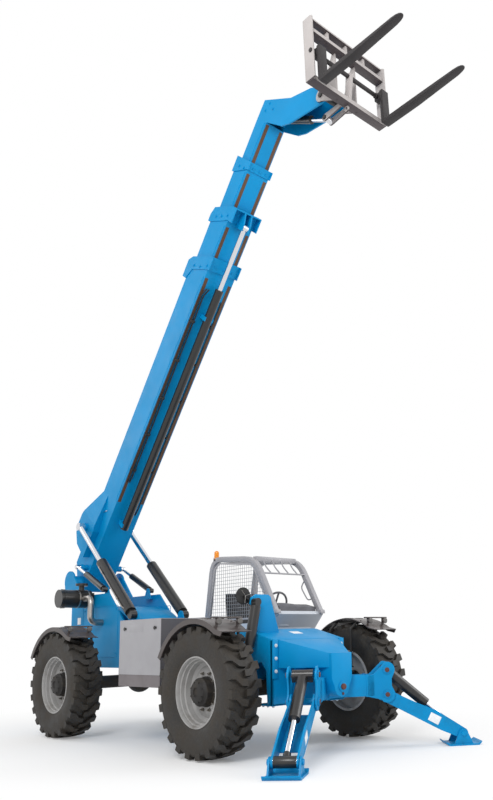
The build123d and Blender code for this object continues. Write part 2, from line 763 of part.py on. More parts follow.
def forks():
    heel = carriage_foot - 15
    front = carriage_front + 22
    blade_end = front + fork_blade_length
    side = outline([
        (front - fork_thickness + 40, fork_shank_top), (front + 40, fork_shank_top), (front + 40, heel),
        (blade_end, heel), (blade_end, heel - 14), (front + 500, heel - fork_thickness),
        (front - fork_thickness + 40, heel - fork_thickness),
    ])
    fork = side_plate(side, fork_y - fork_width / 2, fork_y + fork_width / 2)
    hook = block(fork_shaft_x - 40, front + 20, fork_y - 40, fork_y + 40, fork_shaft_z - 45, fork_shaft_z + 45)
    fork += hook
    shaft = pin_y(fork_shaft_x, fork_shaft_z, -carriage_half - 15, carriage_half + 15, fork_shaft_radius)
    return in_carriage(fork + other_side(fork) + shaft)


# ---- engine side ------------------------------------------------------------------------------------
def engine_tray():
    band = bay_bottom + bay_band
    body = block(bay_rear, bay_front, -bay_outer, -tower_half - mount_gap, bay_bottom, bay_bottom + bay_floor)
    body += block(bay_rear, bay_front, -bay_outer, -bay_outer + bay_sheet, bay_bottom, band)
    return body


def engine_bay():
    low = bay_bottom + bay_floor + mount_gap
    top = bay_top - bay_sheet - mount_gap
    outer = -bay_outer + bay_sheet + mount_gap
    body = block(bay_rear, bay_rear + bay_sheet, outer, -bay_inner, low, top)
    body += block(bay_front - bay_sheet, bay_front, outer, -bay_inner, low, top)
    body += block(bay_rear, bay_front, -bay_inner, -tower_half - mount_gap, low, top)
    return body


def engine_lid():
    body = block(bay_rear, bay_front, -bay_outer, -bay_inner, bay_top - bay_sheet, bay_top)
    body += block(bay_rear, bay_front, -bay_outer, -bay_outer + bay_sheet, bay_bottom + bay_band + 2, bay_top)
    body += pin_x(-bay_inner, bay_top + 6, bay_rear + 100, bay_front - 100, 9)
    return body


def engine_block():
    body = block(1600, 2300, -1000, -bay_inner - 60, 790, 1330)
    for x in (1700, 2200):
        body += block(x - 40, x + 40, -950, -560, bay_bottom + bay_floor + mount_gap, 792)
    return body


def air_cleaner():
    x = -680
    z = 1860
    body = bar((x, -470, z), (x, -930, z), 130)
    body += bar((x, -850, z), (x, -890, z), 138)
    body += block(x - 60, x + 60, -tower_half - 55, -tower_half - pivot_clearance, z - 90, z + 90)
    body += bar((x + 20, -600, z + 100), (x + 20, -600, z + 190), 38)
    body += bar((x + 20, -600, z + 190), (x + 20, -600, z + 225), 85)
    return body


def intake_pipe():
    x = -680
    radius = 45
    route = [(x + 130 + mount_gap, -600, 1860), (-350, -600, 1860), (-350, -600, 1510), (-350, -tower_half - mount_gap, 1510)]
    path = FilletPolyline(*route, radius=90)
    return sweep(Plane(origin=route[0], z_dir=(1, 0, 0)) * Circle(radius), path=path)


# ---- cab ------------------------------------------------------------------------------------------
def cab_tub():
    side = outline([
        (cab_rear, cab_floor), (cab_front, cab_floor), (cab_front, 1280), (2620, 1520), (2600, 1560),
        (cab_front, 1540), (cab_front - 120, cab_sill), (cab_rear, cab_sill),
    ])
    body = side_plate(side, tower_half + mount_gap, cab_outer)
    body -= side_plate(outline([
        (cab_rear + cab_sheet, cab_floor + cab_sheet), (cab_front - cab_sheet, cab_floor + cab_sheet),
        (cab_front - cab_sheet, 1290), (2590, 1520), (2590, 1700), (cab_rear + cab_sheet, 1700),
    ]), tower_half + cab_sheet, cab_outer - cab_sheet)
    body -= block(1500, 2150, cab_outer - 60, cab_outer + 60, cab_floor + 60, 1700)
    ledge = outline([(cab_rear, 1338), (1210, frame_top + mount_gap), (cab_front, frame_top + mount_gap), (2610, 1520), (2600, 1560),
                     (cab_front, 1540), (cab_front - 120, cab_sill), (cab_rear, cab_sill)])
    body += side_plate(ledge, cab_inner, tower_half + cab_sheet)
    return body


def rops_frame():
    bar_size = rops_bar
    y0 = cab_inner
    y1 = cab_outer - bar_size
    outer = [(cab_rear, cab_sill), (1090, 1600), (1250, 2200), (1420, rops_top), (2150, rops_top - 20), (2260, 2190),
             (2640, 1560), (2600, 1560)]
    arch = side_plate(outline(outer + arch_opening[6::-1]), y0, y0 + bar_size)
    body = arch + Pos(0, y1 - y0, 0) * arch
    for x, z in ((1330, 2195), (2120, 2235)):
        body += block(x, x + bar_size, y0, y1 + bar_size, z, z + bar_size)
    for y in (520, 640, 760, 880, 1000):
        body += block(1350, 2150, y - 9, y + 9, 2262, 2288)
    body += block(cab_rear, cab_rear + bar_size, y0, y1, cab_sill, cab_sill + 60)
    body += block(beacon_x - 35, beacon_x + 35, y0, y0 + bar_size, 2200, beacon_z)
    return body


def side_mesh():
    y = cab_inner + 30
    edge = offset(outline(arch_opening), amount=-mount_gap, kind=Kind.INTERSECTION)
    wires = Part()
    for i in range(10):
        x = 1220 + i * 130
        wires += block(x - 4, x + 4, y, y + 8, 1400, 2300)
    for i in range(7):
        z = 1520 + i * 105
        wires += block(1100, 2600, y, y + 8, z - 4, z + 4)
    return wires & side_plate(edge, y - 20, y + 40)


def seat():
    y = (cab_inner + cab_outer) / 2 + 20
    body = block(1330, 1820, y - 230, y + 230, 1180, 1300)
    body += side_plate(outline([(1330, 1250), (1450, 1250), (1370, 1850), (1270, 1850)]), y - 220, y + 220)
    body += block(1450, 1700, y - 150, y + 150, cab_floor + cab_sheet + mount_gap, 1182)
    return body


def dash():
    y0 = tower_half + 60
    y1 = cab_outer - rops_bar - 15
    floor = cab_floor + cab_sheet + mount_gap
    body = side_plate(outline([(2180, floor), (2330, floor), (2330, 1290),
                               (2560, 1530), (2560, 1620), (2380, 1660), (2180, 1560)]), y0, y1)
    column = bar((2280, 800, 1560), (2076, 800, 1657), 28)
    wheel = Location((2080, 800, 1655), (0, -64, 0)) * Torus(190, 14)
    spokes = Location((2080, 800, 1655), (0, -64, 0)) * (Box(370, 26, 10) + Box(26, 370, 10))
    return body + column + wheel + spokes


def beacon():
    y = cab_inner + rops_bar / 2
    body = pin_z(beacon_x, y, beacon_z + mount_gap, 2330, 22)
    return body + pin_z(beacon_x, y, 2330, 2440, 48)


def mirror_disc():
    foot_x = sway_top[0] - sway_eye_width / 2 - pivot_clearance - ear_plate - mount_gap
    body = bar((3270, -625, 1690), (3285, -625, 1690), 95)
    body += bar((3285, -625, 1690), (foot_x - 12, -550, 1635), 10)
    body += block(foot_x - 20, foot_x, -572, -512, 1600, 1650)
    return body


# ---- writing the pieces -----------------------------------------------------------------------------
machine_rear = boom_point(tail_top_u, boom_axis_w + base_height / 2)[0]
_tip = tip_point()
lean_cos = cos(radians(carriage_lean))
fork_tip = _tip[0] + (carriage_front + 22 + fork_blade_length) * lean_cos
fork_tip -= (carriage_foot - 29) * sin(radians(carriage_lean))
x_shift = -(machine_rear + fork_tip) / 2
corners = {
    "front_left": (wheelbase, 1), "front_right": (wheelbase, -1), "rear_left": (0, 1), "rear_right": (0, -1),
}


def write(name, shape):
    solids = (Pos(x_shift, 0, 0) * shape).solids()
    export_step(Compound(children=solids) if len(solids) > 1 else solids[0], f"parts/{name}.step")


lift_barrels, lift_rods = lift_rams()
slave_barrels, slave_rods = slave_rams()
tilt_barrel, tilt_rod = tilt_ram()
sway_barrel, sway_rod = sway_ram()
extension_barrel, extension_rod = extension_ram()
leg_barrel, leg_rod = leg_rams()
left_leg = leg()
tower = rear_tower()
left_pad = pad()

pieces = {
    "chassis": chassis(), "rear_tower": tower, "tower_hood": hood() - tower, "front_nose": nose(),
    "engine_block": engine_block(), "engine_tray": engine_tray(), "engine_bay": engine_bay(),
    "engine_lid": engine_lid(), "air_cleaner": air_cleaner(), "intake_pipe": intake_pipe(),
    "cab_tub": cab_tub(), "rops_frame": rops_frame(), "side_mesh": side_mesh(), "seat": seat(), "dash": dash(),
    "beacon": beacon(), "mirror": mirror_disc(),
    "rear_axle": Pos(0, 0, axle_height) * axle(False), "front_axle": Pos(wheelbase, 0, axle_height) * axle(True),
    "boom_base": boom_base(), "boom_second": boom_second(), "boom_third": boom_third(), "boom_fly": boom_fly(),
    "boom_head": boom_head(), "extension_barrel": extension_barrel, "extension_rod": extension_rod,
    "carriage": carriage(), "forks": forks(),
    "lift_barrels": lift_barrels, "lift_rods": lift_rods, "slave_barrels": slave_barrels, "slave_rods": slave_rods,
    "tilt_barrel": tilt_barrel, "tilt_rod": tilt_rod, "sway_barrel": sway_barrel, "sway_rod": sway_rod,
    "leg_left": left_leg, "leg_right": other_side(left_leg), "pad_left": left_pad, "pad_right": other_side(left_pad),
    "leg_barrel_left": leg_barrel, "leg_barrel_right": other_side(leg_barrel),
    "leg_rod_left": leg_rod, "leg_rod_right": other_side(leg_rod),
}
for name, shape in pieces.items():
    write(name, shape)

for place, (x, side) in corners.items():
    for name, shape in (("tyre", tyre()), ("rim", rim()), ("knuckle", knuckle()), ("fender", fender())):
        shape = Pos(x, half_track, axle_height) * shape
        write(f"{name}_{place}", shape if side > 0 else other_side(shape))
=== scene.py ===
import json
import math
import bmesh
import bpy
from mathutils import Matrix, Vector


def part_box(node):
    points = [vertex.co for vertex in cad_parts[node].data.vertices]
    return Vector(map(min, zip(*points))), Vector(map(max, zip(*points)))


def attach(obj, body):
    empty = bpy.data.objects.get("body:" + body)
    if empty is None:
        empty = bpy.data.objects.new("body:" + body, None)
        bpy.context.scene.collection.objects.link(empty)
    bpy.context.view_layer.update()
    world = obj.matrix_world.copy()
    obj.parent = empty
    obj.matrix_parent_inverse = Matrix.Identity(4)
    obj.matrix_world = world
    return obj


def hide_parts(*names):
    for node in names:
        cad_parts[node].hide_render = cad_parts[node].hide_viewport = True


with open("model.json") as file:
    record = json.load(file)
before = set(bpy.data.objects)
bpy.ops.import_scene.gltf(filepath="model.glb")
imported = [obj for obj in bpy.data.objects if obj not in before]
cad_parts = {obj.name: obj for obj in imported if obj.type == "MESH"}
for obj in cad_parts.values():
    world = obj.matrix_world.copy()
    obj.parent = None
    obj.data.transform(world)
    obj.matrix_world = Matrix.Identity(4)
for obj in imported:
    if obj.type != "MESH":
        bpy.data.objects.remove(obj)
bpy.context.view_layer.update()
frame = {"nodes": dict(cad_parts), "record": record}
scene = bpy.context.scene
nodes = frame["nodes"]
bodyOf = {node: body for body, held in frame["record"]["behaviour"]["bodies"].items() for node in held}
mirrorY = Matrix.Scale(-1, 4, (0, 1, 0))
print("frame loaded")


def middle(node):
    low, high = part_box(node)
    return (low + high) / 2


rearAxleX = middle("rim_rear_left").x   # every place below is counted from the rear axle


def at(x, y, z):
    return Vector((x + rearAxleX, y, z))


def placed(place, degrees=0, axis="Y"):
    # a move to the place and a turn about one axis there
    return Matrix.Translation(Vector(place)) @ Matrix.Rotation(math.radians(degrees), 4, axis)


# camera: where it stands and how it is turned
view = {
    "place": (10.249, -5.838, 1.203), "yaw": 2.328, "pitch": 0.167, "roll": -0.026,
    "lens": 34.56, "sensor": 36.0, "shift": (-0.16, 0.13425), "reach": 200,
}


def addCamera():
    data = bpy.data.cameras.new("camera")
    data.sensor_fit = "VERTICAL"
    data.sensor_height = view["sensor"]
    data.lens = view["lens"]
    data.shift_x, data.shift_y = view["shift"]
    data.clip_end = view["reach"]
    camera = bpy.data.objects.new("camera", data)
    scene.collection.objects.link(camera)
    yaw, pitch, roll = view["yaw"], view["pitch"], view["roll"]
    ahead = Vector((math.cos(yaw) * math.cos(pitch), math.sin(yaw) * math.cos(pitch), math.sin(pitch)))
    right = Vector((math.sin(yaw), -math.cos(yaw), 0))
    up = right.cross(ahead)
    turnedRight = math.cos(roll) * right + math.sin(roll) * up
    turnedUp = math.cos(roll) * up - math.sin(roll) * right
    turn = Matrix((turnedRight, turnedUp, -ahead)).transposed().to_4x4()
    camera.matrix_world = Matrix.Translation(at(*view["place"])) @ turn
    scene.camera = camera


def fill(node, values):
    # sets a node's inputs to plain values, or links them to other nodes' sockets
    for name, value in values.items():
        if hasattr(value, "is_output"):
            node.id_data.links.new(value, node.inputs[name])
        else:
            node.inputs[name].default_value = value
    return node


def addNode(tree, kind, values=(), **fields):
    node = tree.nodes.new("ShaderNode" + kind)
    for field, value in fields.items():
        setattr(node, field, value)
    return fill(node, dict(values))


def srgb(red, green, blue):
    def linear(value):
        value /= 255
        return value / 12.92 if value <= 0.04045 else ((value + 0.055) / 1.055) ** 2.4
    return (linear(red), linear(green), linear(blue), 1)


def shaded(colour, share, lift=0):
    return tuple(min(1, c * share + lift) for c in colour[:3]) + (1,)


class Recipe:
    # one material's node tree, built step by step
    def __init__(self, name):
        self.material = bpy.data.materials.new(name)
        self.material.use_nodes = True
        self.tree = self.material.node_tree
        self.shader = self.tree.nodes["Principled BSDF"]
        source = self.node("TexCoord")
        self.place = source.outputs["Object"]
        self.normal = source.outputs["Normal"]

    def node(self, kind, values=(), **fields):
        return addNode(self.tree, kind, values, **fields)

    def noise(self, scale, detail=4, rough=0.55):
        values = {"Scale": scale, "Detail": detail, "Roughness": rough, "Vector": self.place}
        return self.node("TexNoise", values).outputs["Fac"]

    def remap(self, value, low, high, toLow=0.0, toHigh=1.0):
        values = {"From Min": low, "From Max": high, "To Min": toLow, "To Max": toHigh, "Value": value}
        return self.node("MapRange", values).outputs["Result"]

    def mixColour(self, share, first, second):
        made = self.node("Mix", {"Factor": share, "A": first, "B": second}, data_type="RGBA")
        return [s for s in made.outputs if s.type == "RGBA"][0]

    def combine(self, first, second, operation="MULTIPLY"):
        return self.node("Math", {0: first, 1: second}, operation=operation).outputs[0]

    def upward(self, source):
        return self.node("SeparateXYZ", {0: source}).outputs["Z"]

    def finished(self, colour, roughness, relief, strength, distance, extra=()):
        # wires the shader up; relief is the height that the bump follows
        bump = self.node("Bump", {"Strength": strength, "Distance": distance, "Height": relief})
        values = {"Base Color": colour, "Roughness": roughness, "Normal": bump.outputs["Normal"]}
        fill(self.shader, {**values, **dict(extra)})
        return self.material


# studio: grey world light, white backdrop, lamps as power, size, place and target
studio = {
    "worldGrey": 0.66, "floorGrey": 0.92, "floorRoughness": 0.75, "floorSpecular": 0.1, "floorRadius": 60,
    # the glow and the fade's ellipse also set the size and depth of the painted shadow round the machine
    "floorGlow": 0.12, "shadowFadeStretch": (0.75, 1.2, 1), "shadowFadeStart": 1.5, "shadowFadeEnd": 5.2,
    "lamps": {
        "key": (800, 5, (9, -9, 9), (1.5, 0, 2.5)),
        "fill": (330, 6, (9, 7, 6), (1.5, 0, 2.5)),
        "back": (130, 6, (-7, -4, 8), (1.5, 0, 3)),
    },
}


def addLamp(name, power, size, place, target):
    data = bpy.data.lights.new(name, "AREA")
    data.shape = "DISK"
    data.size = size
    data.energy = power
    lamp = bpy.data.objects.new(name, data)
    scene.collection.objects.link(lamp)
    lamp.location = at(*place)
    lamp.rotation_euler = (at(*target) - at(*place)).to_track_quat("-Z", "Y").to_euler()


def backdropShare(tree):
    # 1 where the camera, a mirror or glass looks straight at the backdrop
    path = addNode(tree, "LightPath").outputs
    share = path["Is Camera Ray"]
    for other in ("Is Transmission Ray", "Is Glossy Ray"):
        share = addNode(tree, "Math", {0: share, 1: path[other]}, operation="MAXIMUM").outputs[0]
    return share


def addWorld():
    scene.world = bpy.data.worlds.new("studio")
    scene.world.use_nodes = True
    tree = scene.world.node_tree
    grey = fill(tree.nodes["Background"], {"Color": (studio["worldGrey"],) * 3 + (1,)})
    white = addNode(tree, "Background", {"Color": (1, 1, 1, 1)})
    mix = addNode(tree, "MixShader", {0: backdropShare(tree), 1: grey.outputs[0], 2: white.outputs[0]})
    fill(tree.nodes["World Output"], {"Surface": mix.outputs[0]})


def addFloor():
    shape = bmesh.new()
    bmesh.ops.create_circle(shape, cap_ends=True, segments=96, radius=studio["floorRadius"])
    mesh = bpy.data.meshes.new("floor")
    shape.to_mesh(mesh)
    shape.free()
    floor = bpy.data.objects.new("floor", mesh)
    scene.collection.objects.link(floor)
    paper = Recipe("floorPaperAndPaintedShadow")
    fill(paper.shader, {
        "Base Color": (studio["floorGrey"],) * 3 + (1,), "Roughness": studio["floorRoughness"],
        "Specular IOR Level": studio["floorSpecular"],
    })
    # painted shadow, in part: near the machine the paper keeps its lamp-lit grey, real shadows included,
    # which reads as a soft grey patch round the machine; further out it fades into the white backdrop
    spot = paper.node("Mapping", {"Scale": studio["shadowFadeStretch"], "Vector": paper.place})
    far = paper.node("VectorMath", {0: spot.outputs["Vector"]}, operation="LENGTH").outputs["Value"]
    fade = paper.remap(far, studio["shadowFadeStart"], studio["shadowFadeEnd"], studio["floorGlow"])
    share = paper.combine(fade, backdropShare(paper.tree))
    glow = paper.node("Emission")
    mix = paper.node("MixShader", {0: share, 1: paper.shader.outputs[0], 2: glow.outputs[0]})
    fill(paper.tree.nodes["Material Output"], {"Surface": mix.outputs[0]})
    mesh.materials.append(paper.material)


addCamera()
addWorld()
addFloor()
for lampName, settings in studio["lamps"].items():
    addLamp(lampName, *settings)
scene.view_settings.view_transform = "Standard"
print("camera and light placed")


# materials, all worked out from each object's own coordinates
def paint(name, colour, roughness, coat, grime=(58, 54, 48), grimeAmount=0.35, grimeTop=1.3, specular=0.4,
          under=None):
    made = Recipe(name)
    base = srgb(*colour)
    shade = made.mixColour(made.remap(made.noise(1.4, 3), 0.35, 0.7), base, shaded(base, 0.88))
    if under:
        # painted shade: faces that look down are given the dark under colour, standing in for the shade they
        # fall in
        below = made.remap(made.upward(made.normal), -0.7, -0.35, 1, 0)
        shade = made.mixColour(below, shade, srgb(*under))
    # road dirt gathers low down and in soft patches
    low = made.remap(made.upward(made.place), 0.25, grimeTop, 1, 0)
    patch = made.remap(made.noise(7, 6, 0.62), 0.48, 0.72)
    dirt = made.combine(made.combine(low, patch), grimeAmount)
    wear = made.remap(made.noise(3.5, 5), 0.3, 0.75, roughness * 0.85, roughness * 1.35)
    rough = made.combine(wear, made.combine(dirt, 0.4), "ADD")
    gloss = {"Coat Weight": coat, "Coat Roughness": 0.12, "Specular IOR Level": specular}
    mixed = made.mixColour(dirt, shade, srgb(*grime))
    return made.finished(mixed, rough, made.noise(220, 2), 0.04, 0.002, gloss)


def metal(name, colour, roughness):
    made = Recipe(name)
    base = srgb(*colour)
    grain = made.noise(160, 3, 0.6)
    colour = made.mixColour(made.remap(grain, 0.35, 0.7), base, shaded(base, 0.8))
    rough = made.remap(grain, 0.3, 0.7, roughness * 0.7, roughness * 1.4)
    return made.finished(colour, rough, grain, 0.05, 0.001, {"Metallic": 1})


def rubber(name, colour, dust, dustAmount):
    made = Recipe(name)
    cloud = made.remap(made.noise(5, 6, 0.65), 0.38, 0.7)
    fine = made.remap(made.noise(60, 4), 0.42, 0.68)
    share = made.combine(made.combine(made.combine(cloud, 0.7), made.combine(fine, 0.3), "ADD"), dustAmount)
    mixed = made.mixColour(share, srgb(*colour), srgb(*dust))
    return made.finished(mixed, made.remap(cloud, 0, 1, 0.55, 0.85), made.noise(90, 5), 0.18, 0.004)


def plastic(name, colour, roughness=0.5, bump=0.12):
    made = Recipe(name)
    base = srgb(*colour)
    mixed = made.mixColour(made.remap(made.noise(9, 5), 0.4, 0.7), base, shaded(base, 1.35, 0.004))
    rough = made.remap(made.noise(14, 4), 0.3, 0.7, roughness * 0.85, roughness * 1.2)
    return made.finished(mixed, rough, made.noise(300, 2), bump, 0.002)


finish = {
    "blue": paint("bluePaint", (0, 143, 203), 0.42, 0.04, (40, 60, 70), 0.25, 1.1, 0.16),
    "grey": paint("greySheet", (160, 159, 163), 0.38, 0.2, (120, 116, 110), 0.25),
    "darkGrey": paint("darkGreyPaint", (84, 82, 86), 0.42, 0.2, (98, 92, 82), 0.45, 1.6),
    "black": paint("blackPaint", (30, 29, 29), 0.35, 0.35, (74, 68, 58), 0.35, 1.4),
    "fender": paint("fenderPaint", (70, 63, 62), 0.42, 0.25, (104, 94, 82), 0.55, 2.2),
    "nut": metal("zincNut", (150, 146, 140), 0.4),
    "zinc": plastic("zincBolt", (206, 212, 216), 0.4, 0.02),
    "lens": plastic("lampLens", (92, 90, 88), 0.15, 0.02),
    "pinHead": paint("pinPaint", (92, 52, 44), 0.5, 0.1, (60, 50, 44), 0.5, 1.4),
    "label": plastic("blankLabel", (236, 238, 240), 0.4, 0.02),
    "pale": paint("palePanel", (196, 202, 210), 0.4, 0.1),
    "wear": paint("wearStrip", (96, 66, 44), 0.6, 0.0, (60, 50, 40), 0.4, 9),
    "hose": plastic("hoseRubber", (24, 23, 24), 0.5, 0.1),
    "silver": paint("wheelPaint", (158, 157, 156), 0.40, 0.15, (96, 88, 78), 0.6, 1.3),
    "chrome": metal("rodChrome", (225, 226, 230), 0.14),
    "steel": metal("plainSteel", (176, 172, 168), 0.34),
    "cast": paint("castIron", (34, 32, 31), 0.6, 0.0, (88, 78, 62), 0.75, 1.2),
    "tyre": rubber("tyreRubber", (22, 20, 18), (72, 64, 54), 0.6),
    "fork": paint("forgedSteel", (50, 47, 48), 0.55, 0.0, (80, 74, 70), 0.2, 9),
    "cloth": plastic("seatCover", (38, 38, 41), 0.8, 0.3),
    "dash": plastic("dashPlastic", (92, 92, 97), 0.6),
    "amber": plastic("amberLens", (236, 140, 30), 0.25, 0.02),
    "mirror": plastic("mirrorShell", (15, 14, 13), 0.6),
    "wire": paint("wirePaint", (150, 152, 156), 0.4, 0.1),
    # the carriage's under colour is painted shade on its downward faces
    "carriage": paint("carriagePaintWithPaintedShade", (186, 180, 178), 0.42, 0.1, (110, 104, 98), 0.2, 9,
                      under=(74, 66, 68)),
    "band": paint("engineBand", (112, 106, 108), 0.45, 0.1, (90, 84, 76), 0.4, 1.3),
}
slotFinish = {
    "frame_blue": "blue", "dark_grey_paint": "darkGrey", "light_grey_paint": "grey", "black_paint": "black",
    "silver_paint": "silver", "rod_chrome": "chrome", "tyre_rubber": "tyre", "fork_steel": "fork",
    "axle_iron": "cast", "seat_cover": "cloth", "dash_plastic": "dash", "beacon_amber": "amber",
    "mirror_back": "mirror", "pipe_silver": "steel", "mesh_wire": "wire",
}
nodeFinish = {"carriage": "carriage", "cab_tub": "pale", "engine_tray": "band"}
for part in frame["record"]["subparts"]:
    chosen = nodeFinish.get(part["node"], slotFinish[part["material_slot"]])
    for holder in nodes[part["node"]].material_slots:
        holder.material = finish[chosen]
print("materials assigned")


# shapes, all drawn from the rear axle and the ground
def join(target, source, turn):
    # adds a copy of one bmesh, moved by turn, to another
    mesh = bpy.data.meshes.new("part")
    source.to_mesh(mesh)
    mesh.transform(turn)
    if turn.determinant() < 0:
        mesh.flip_normals()
    target.from_mesh(mesh)
    bpy.data.meshes.remove(mesh)


def outward(shape):
    bmesh.ops.recalc_face_normals(shape, faces=shape.faces)
    return shape


def soften(shape, size, sharp=0.6):
    edges = [e for e in shape.edges if len(e.link_faces) == 2 and e.calc_face_angle(0) > sharp]
    bmesh.ops.bevel(shape, geom=edges, offset=size, segments=2, profile=0.5, affect="EDGES",
                    clamp_overlap=True, material=-1)


class Form:
    # gathers the shapes of one piece, each moved by turn
    def __init__(self, turn=Matrix.Identity(4)):
        self.mesh = bmesh.new()
        self.turn = turn

    def add(self, shape, size=0.0, both=False, turn=Matrix.Identity(4)):
        # size rounds the edges, and both adds the shape on the other side as well
        if size:
            soften(shape, size)
        join(self.mesh, shape, self.turn @ turn)
        if both:
            join(self.mesh, shape, self.turn @ mirrorY @ turn)
        shape.free()
        return self

    def keep(self, name, body, material, slotName=None, smooth=30, replaced=None):
        # stores the piece as a finished object that rides on a body
        shape = self.mesh
        bmesh.ops.translate(shape, verts=shape.verts, vec=at(0, 0, 0))
        bmesh.ops.remove_doubles(shape, verts=shape.verts, dist=1e-5)
        mesh = bpy.data.meshes.new(name)
        shape.to_mesh(mesh)
        shape.free()
        mesh.materials.append(finish[material])
        mesh.shade_smooth()
        mesh.set_sharp_from_angle(angle=math.radians(smooth))
        piece = bpy.data.objects.new(name, mesh)
        scene.collection.objects.link(piece)
        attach(piece, body)
        if replaced:
            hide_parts(replaced)


def lathe(profile, segments, axis=(0, 1, 0), closed=False):
    # profile as (radius, distance along the axis), turned about the axis through the origin
    shape = bmesh.new()
    axis = Vector(axis)
    side = axis.orthogonal().normalized()
    points = [shape.verts.new(side * r + axis * h) for r, h in profile]
    edges = [shape.edges.new(pair) for pair in zip(points, points[1:])]
    if closed:
        edges.append(shape.edges.new((points[-1], points[0])))
    bmesh.ops.spin(shape, geom=points + edges, axis=axis, cent=(0, 0, 0), steps=segments, angle=math.tau,
                   use_merge=True)
    bmesh.ops.remove_doubles(shape, verts=shape.verts, dist=1e-5)
    return outward(shape)


def ring(radius, wall, half, segments):
    # a square-edged hoop about the Y axis
    low, high = radius, radius + wall
    return lathe([(low, -half), (high, -half), (high, half), (low, half)], segments, closed=True)


def plate(points, start, end, drawn="XZ"):
    # an outline in the two named axes, made thick along the third
    def place(a, b, c):
        return (a, c, b) if drawn == "XZ" else (c, a, b)
    shape = bmesh.new()
    outline = shape.faces.new([shape.verts.new(place(a, b, start)) for a, b in points])
    grown = bmesh.ops.extrude_face_region(shape, geom=[outline])["geom"]
    moved = [g for g in grown if isinstance(g, bmesh.types.BMVert)]
    bmesh.ops.translate(shape, verts=moved, vec=place(0, 0, end - start))
    return outward(shape)


def slab(x0, x1, y0, y1, z0, z1):
    return plate([(x0, z0), (x1, z0), (x1, z1), (x0, z1)], y0, y1)


def rod(start, end, radius, segments=24, endRadius=None):
    start, end = Vector(start), Vector(end)
    way = end - start
    turn = Matrix.Translation((start + end) / 2) @ way.to_track_quat("Z", "Y").to_matrix().to_4x4()
    shape = bmesh.new()
    bmesh.ops.create_cone(shape, cap_ends=True, segments=segments, radius1=radius,
                          radius2=radius if endRadius is None else endRadius, depth=way.length, matrix=turn)
    return shape


def boltHead(place, way, radius, height):
    # a hexagon on its washer
    place, way = Vector(place), Vector(way).normalized()
    shape = rod(place - way * 0.002, place + way * height * 0.35, radius * 1.5, 16)
    join(shape, rod(place, place + way * height, radius, 6), Matrix.Identity(4))
    return shape


def rounded(points, bend, steps=5):
    # a route whose corners are eased over the length bend
    points = [Vector(p) for p in points]
    route = [points[0]]
    for before, corner, after in zip(points, points[1:], points[2:]):
        reach = min(bend, (before - corner).length * 0.48, (after - corner).length * 0.48)
        a = corner + (before - corner).normalized() * reach
        b = corner + (after - corner).normalized() * reach
        for i in range(steps + 1):
            t = i / steps
            route.append(a * (1 - t) ** 2 + corner * 2 * t * (1 - t) + b * t ** 2)
    return route + [points[-1]]


def loopEdges(loop):
    return list(dict.fromkeys(e for v in loop for e in v.link_edges if e.other_vert(v) in loop))


def pipe(points, radius, bend, sides, spin=0.0):
    # a bar of that many sides along a route with eased corners
    route = rounded(points, bend)
    shape = bmesh.new()
    ways = [(b - a).normalized() for a, b in zip(route, route[1:])]
    ways = [ways[0]] + [(a + b).normalized() for a, b in zip(ways, ways[1:])] + [ways[-1]]
    side = ways[0].orthogonal().normalized()
    if abs(ways[0].y) < 0.9:
        side = (Vector((0, 1, 0)) - ways[0] * ways[0].y).normalized()
    last = None
    for place, way in zip(route, ways):
        side = (side - way * side.dot(way)).normalized()
        turn = Matrix((side, way.cross(side), way)).transposed().to_4x4()
        turn = Matrix.Translation(place) @ turn @ Matrix.Rotation(spin, 4, "Z")
        loop = bmesh.ops.create_circle(shape, segments=sides, radius=radius, matrix=turn)["verts"]
        if last:
            bmesh.ops.bridge_loops(shape, edges=loopEdges(loop) + loopEdges(last))
        else:
            shape.faces.new(loop)
        last = loop
    shape.faces.new(last)
    return outward(shape)


def loft(sections):
    # closed loops of as many points each, joined in turn and capped
    shape = bmesh.new()
    last = None
    for section in sections:
        loop = [shape.verts.new(p) for p in section]
        if last:
            for i in range(len(loop)):
                j = (i + 1) % len(loop)
                shape.faces.new((last[i], last[j], loop[j], loop[i]))
        else:
            shape.faces.new(loop)
        last = loop
    shape.faces.new(last)
    return outward(shape)


def arcPoints(centre, radius, start, end, steps):
    angles = [math.radians(start + (end - start) * i / steps) for i in range(steps + 1)]
    return [(centre[0] + radius * math.cos(a), centre[1] + radius * math.sin(a)) for a in angles]


def around(count, radius, first=0.0):
    # places spread evenly round a circle
    angles = [math.tau * i / count + first for i in range(count)]
    return [(radius * math.cos(a), radius * math.sin(a)) for a in angles]


# wheels, drawn about their centres: 1 is the left side, -1 the right
corners = {"front_left": 1, "front_right": -1, "rear_left": 1, "rear_right": -1}


def cornerTurn(corner):
    turn = placed(middle("rim_" + corner) - at(0, 0, 0))
    return turn if corners[corner] > 0 else turn @ mirrorY


tyre = {
    "radius": 0.685, "grooveRadius": 0.650, "half": 0.1875, "lugs": 22, "steps": 132,
    "shoulderDrop": 0.014, "lugFoot": 0.600, "lugRoot": 0.638, "lugMiddle": 0.042, "lugTaper": (1.06, 0.93),
}


def carcassProfile():
    # bead, sidewall and shoulder, as (radius, distance across)
    half = tyre["half"]
    side = [
        (0.352, 0.148), (0.369, 0.152), (0.392, 0.164), (0.402, 0.168), (0.410, 0.172), (0.452, 0.181),
        (0.520, half), (0.580, half - 0.002), (0.622, half - 0.008), (0.638, half - 0.026),
        (0.647, half - 0.06),
    ]
    return [(r, -y) for r, y in side] + [(tyre["grooveRadius"], 0.0)] + side[::-1]


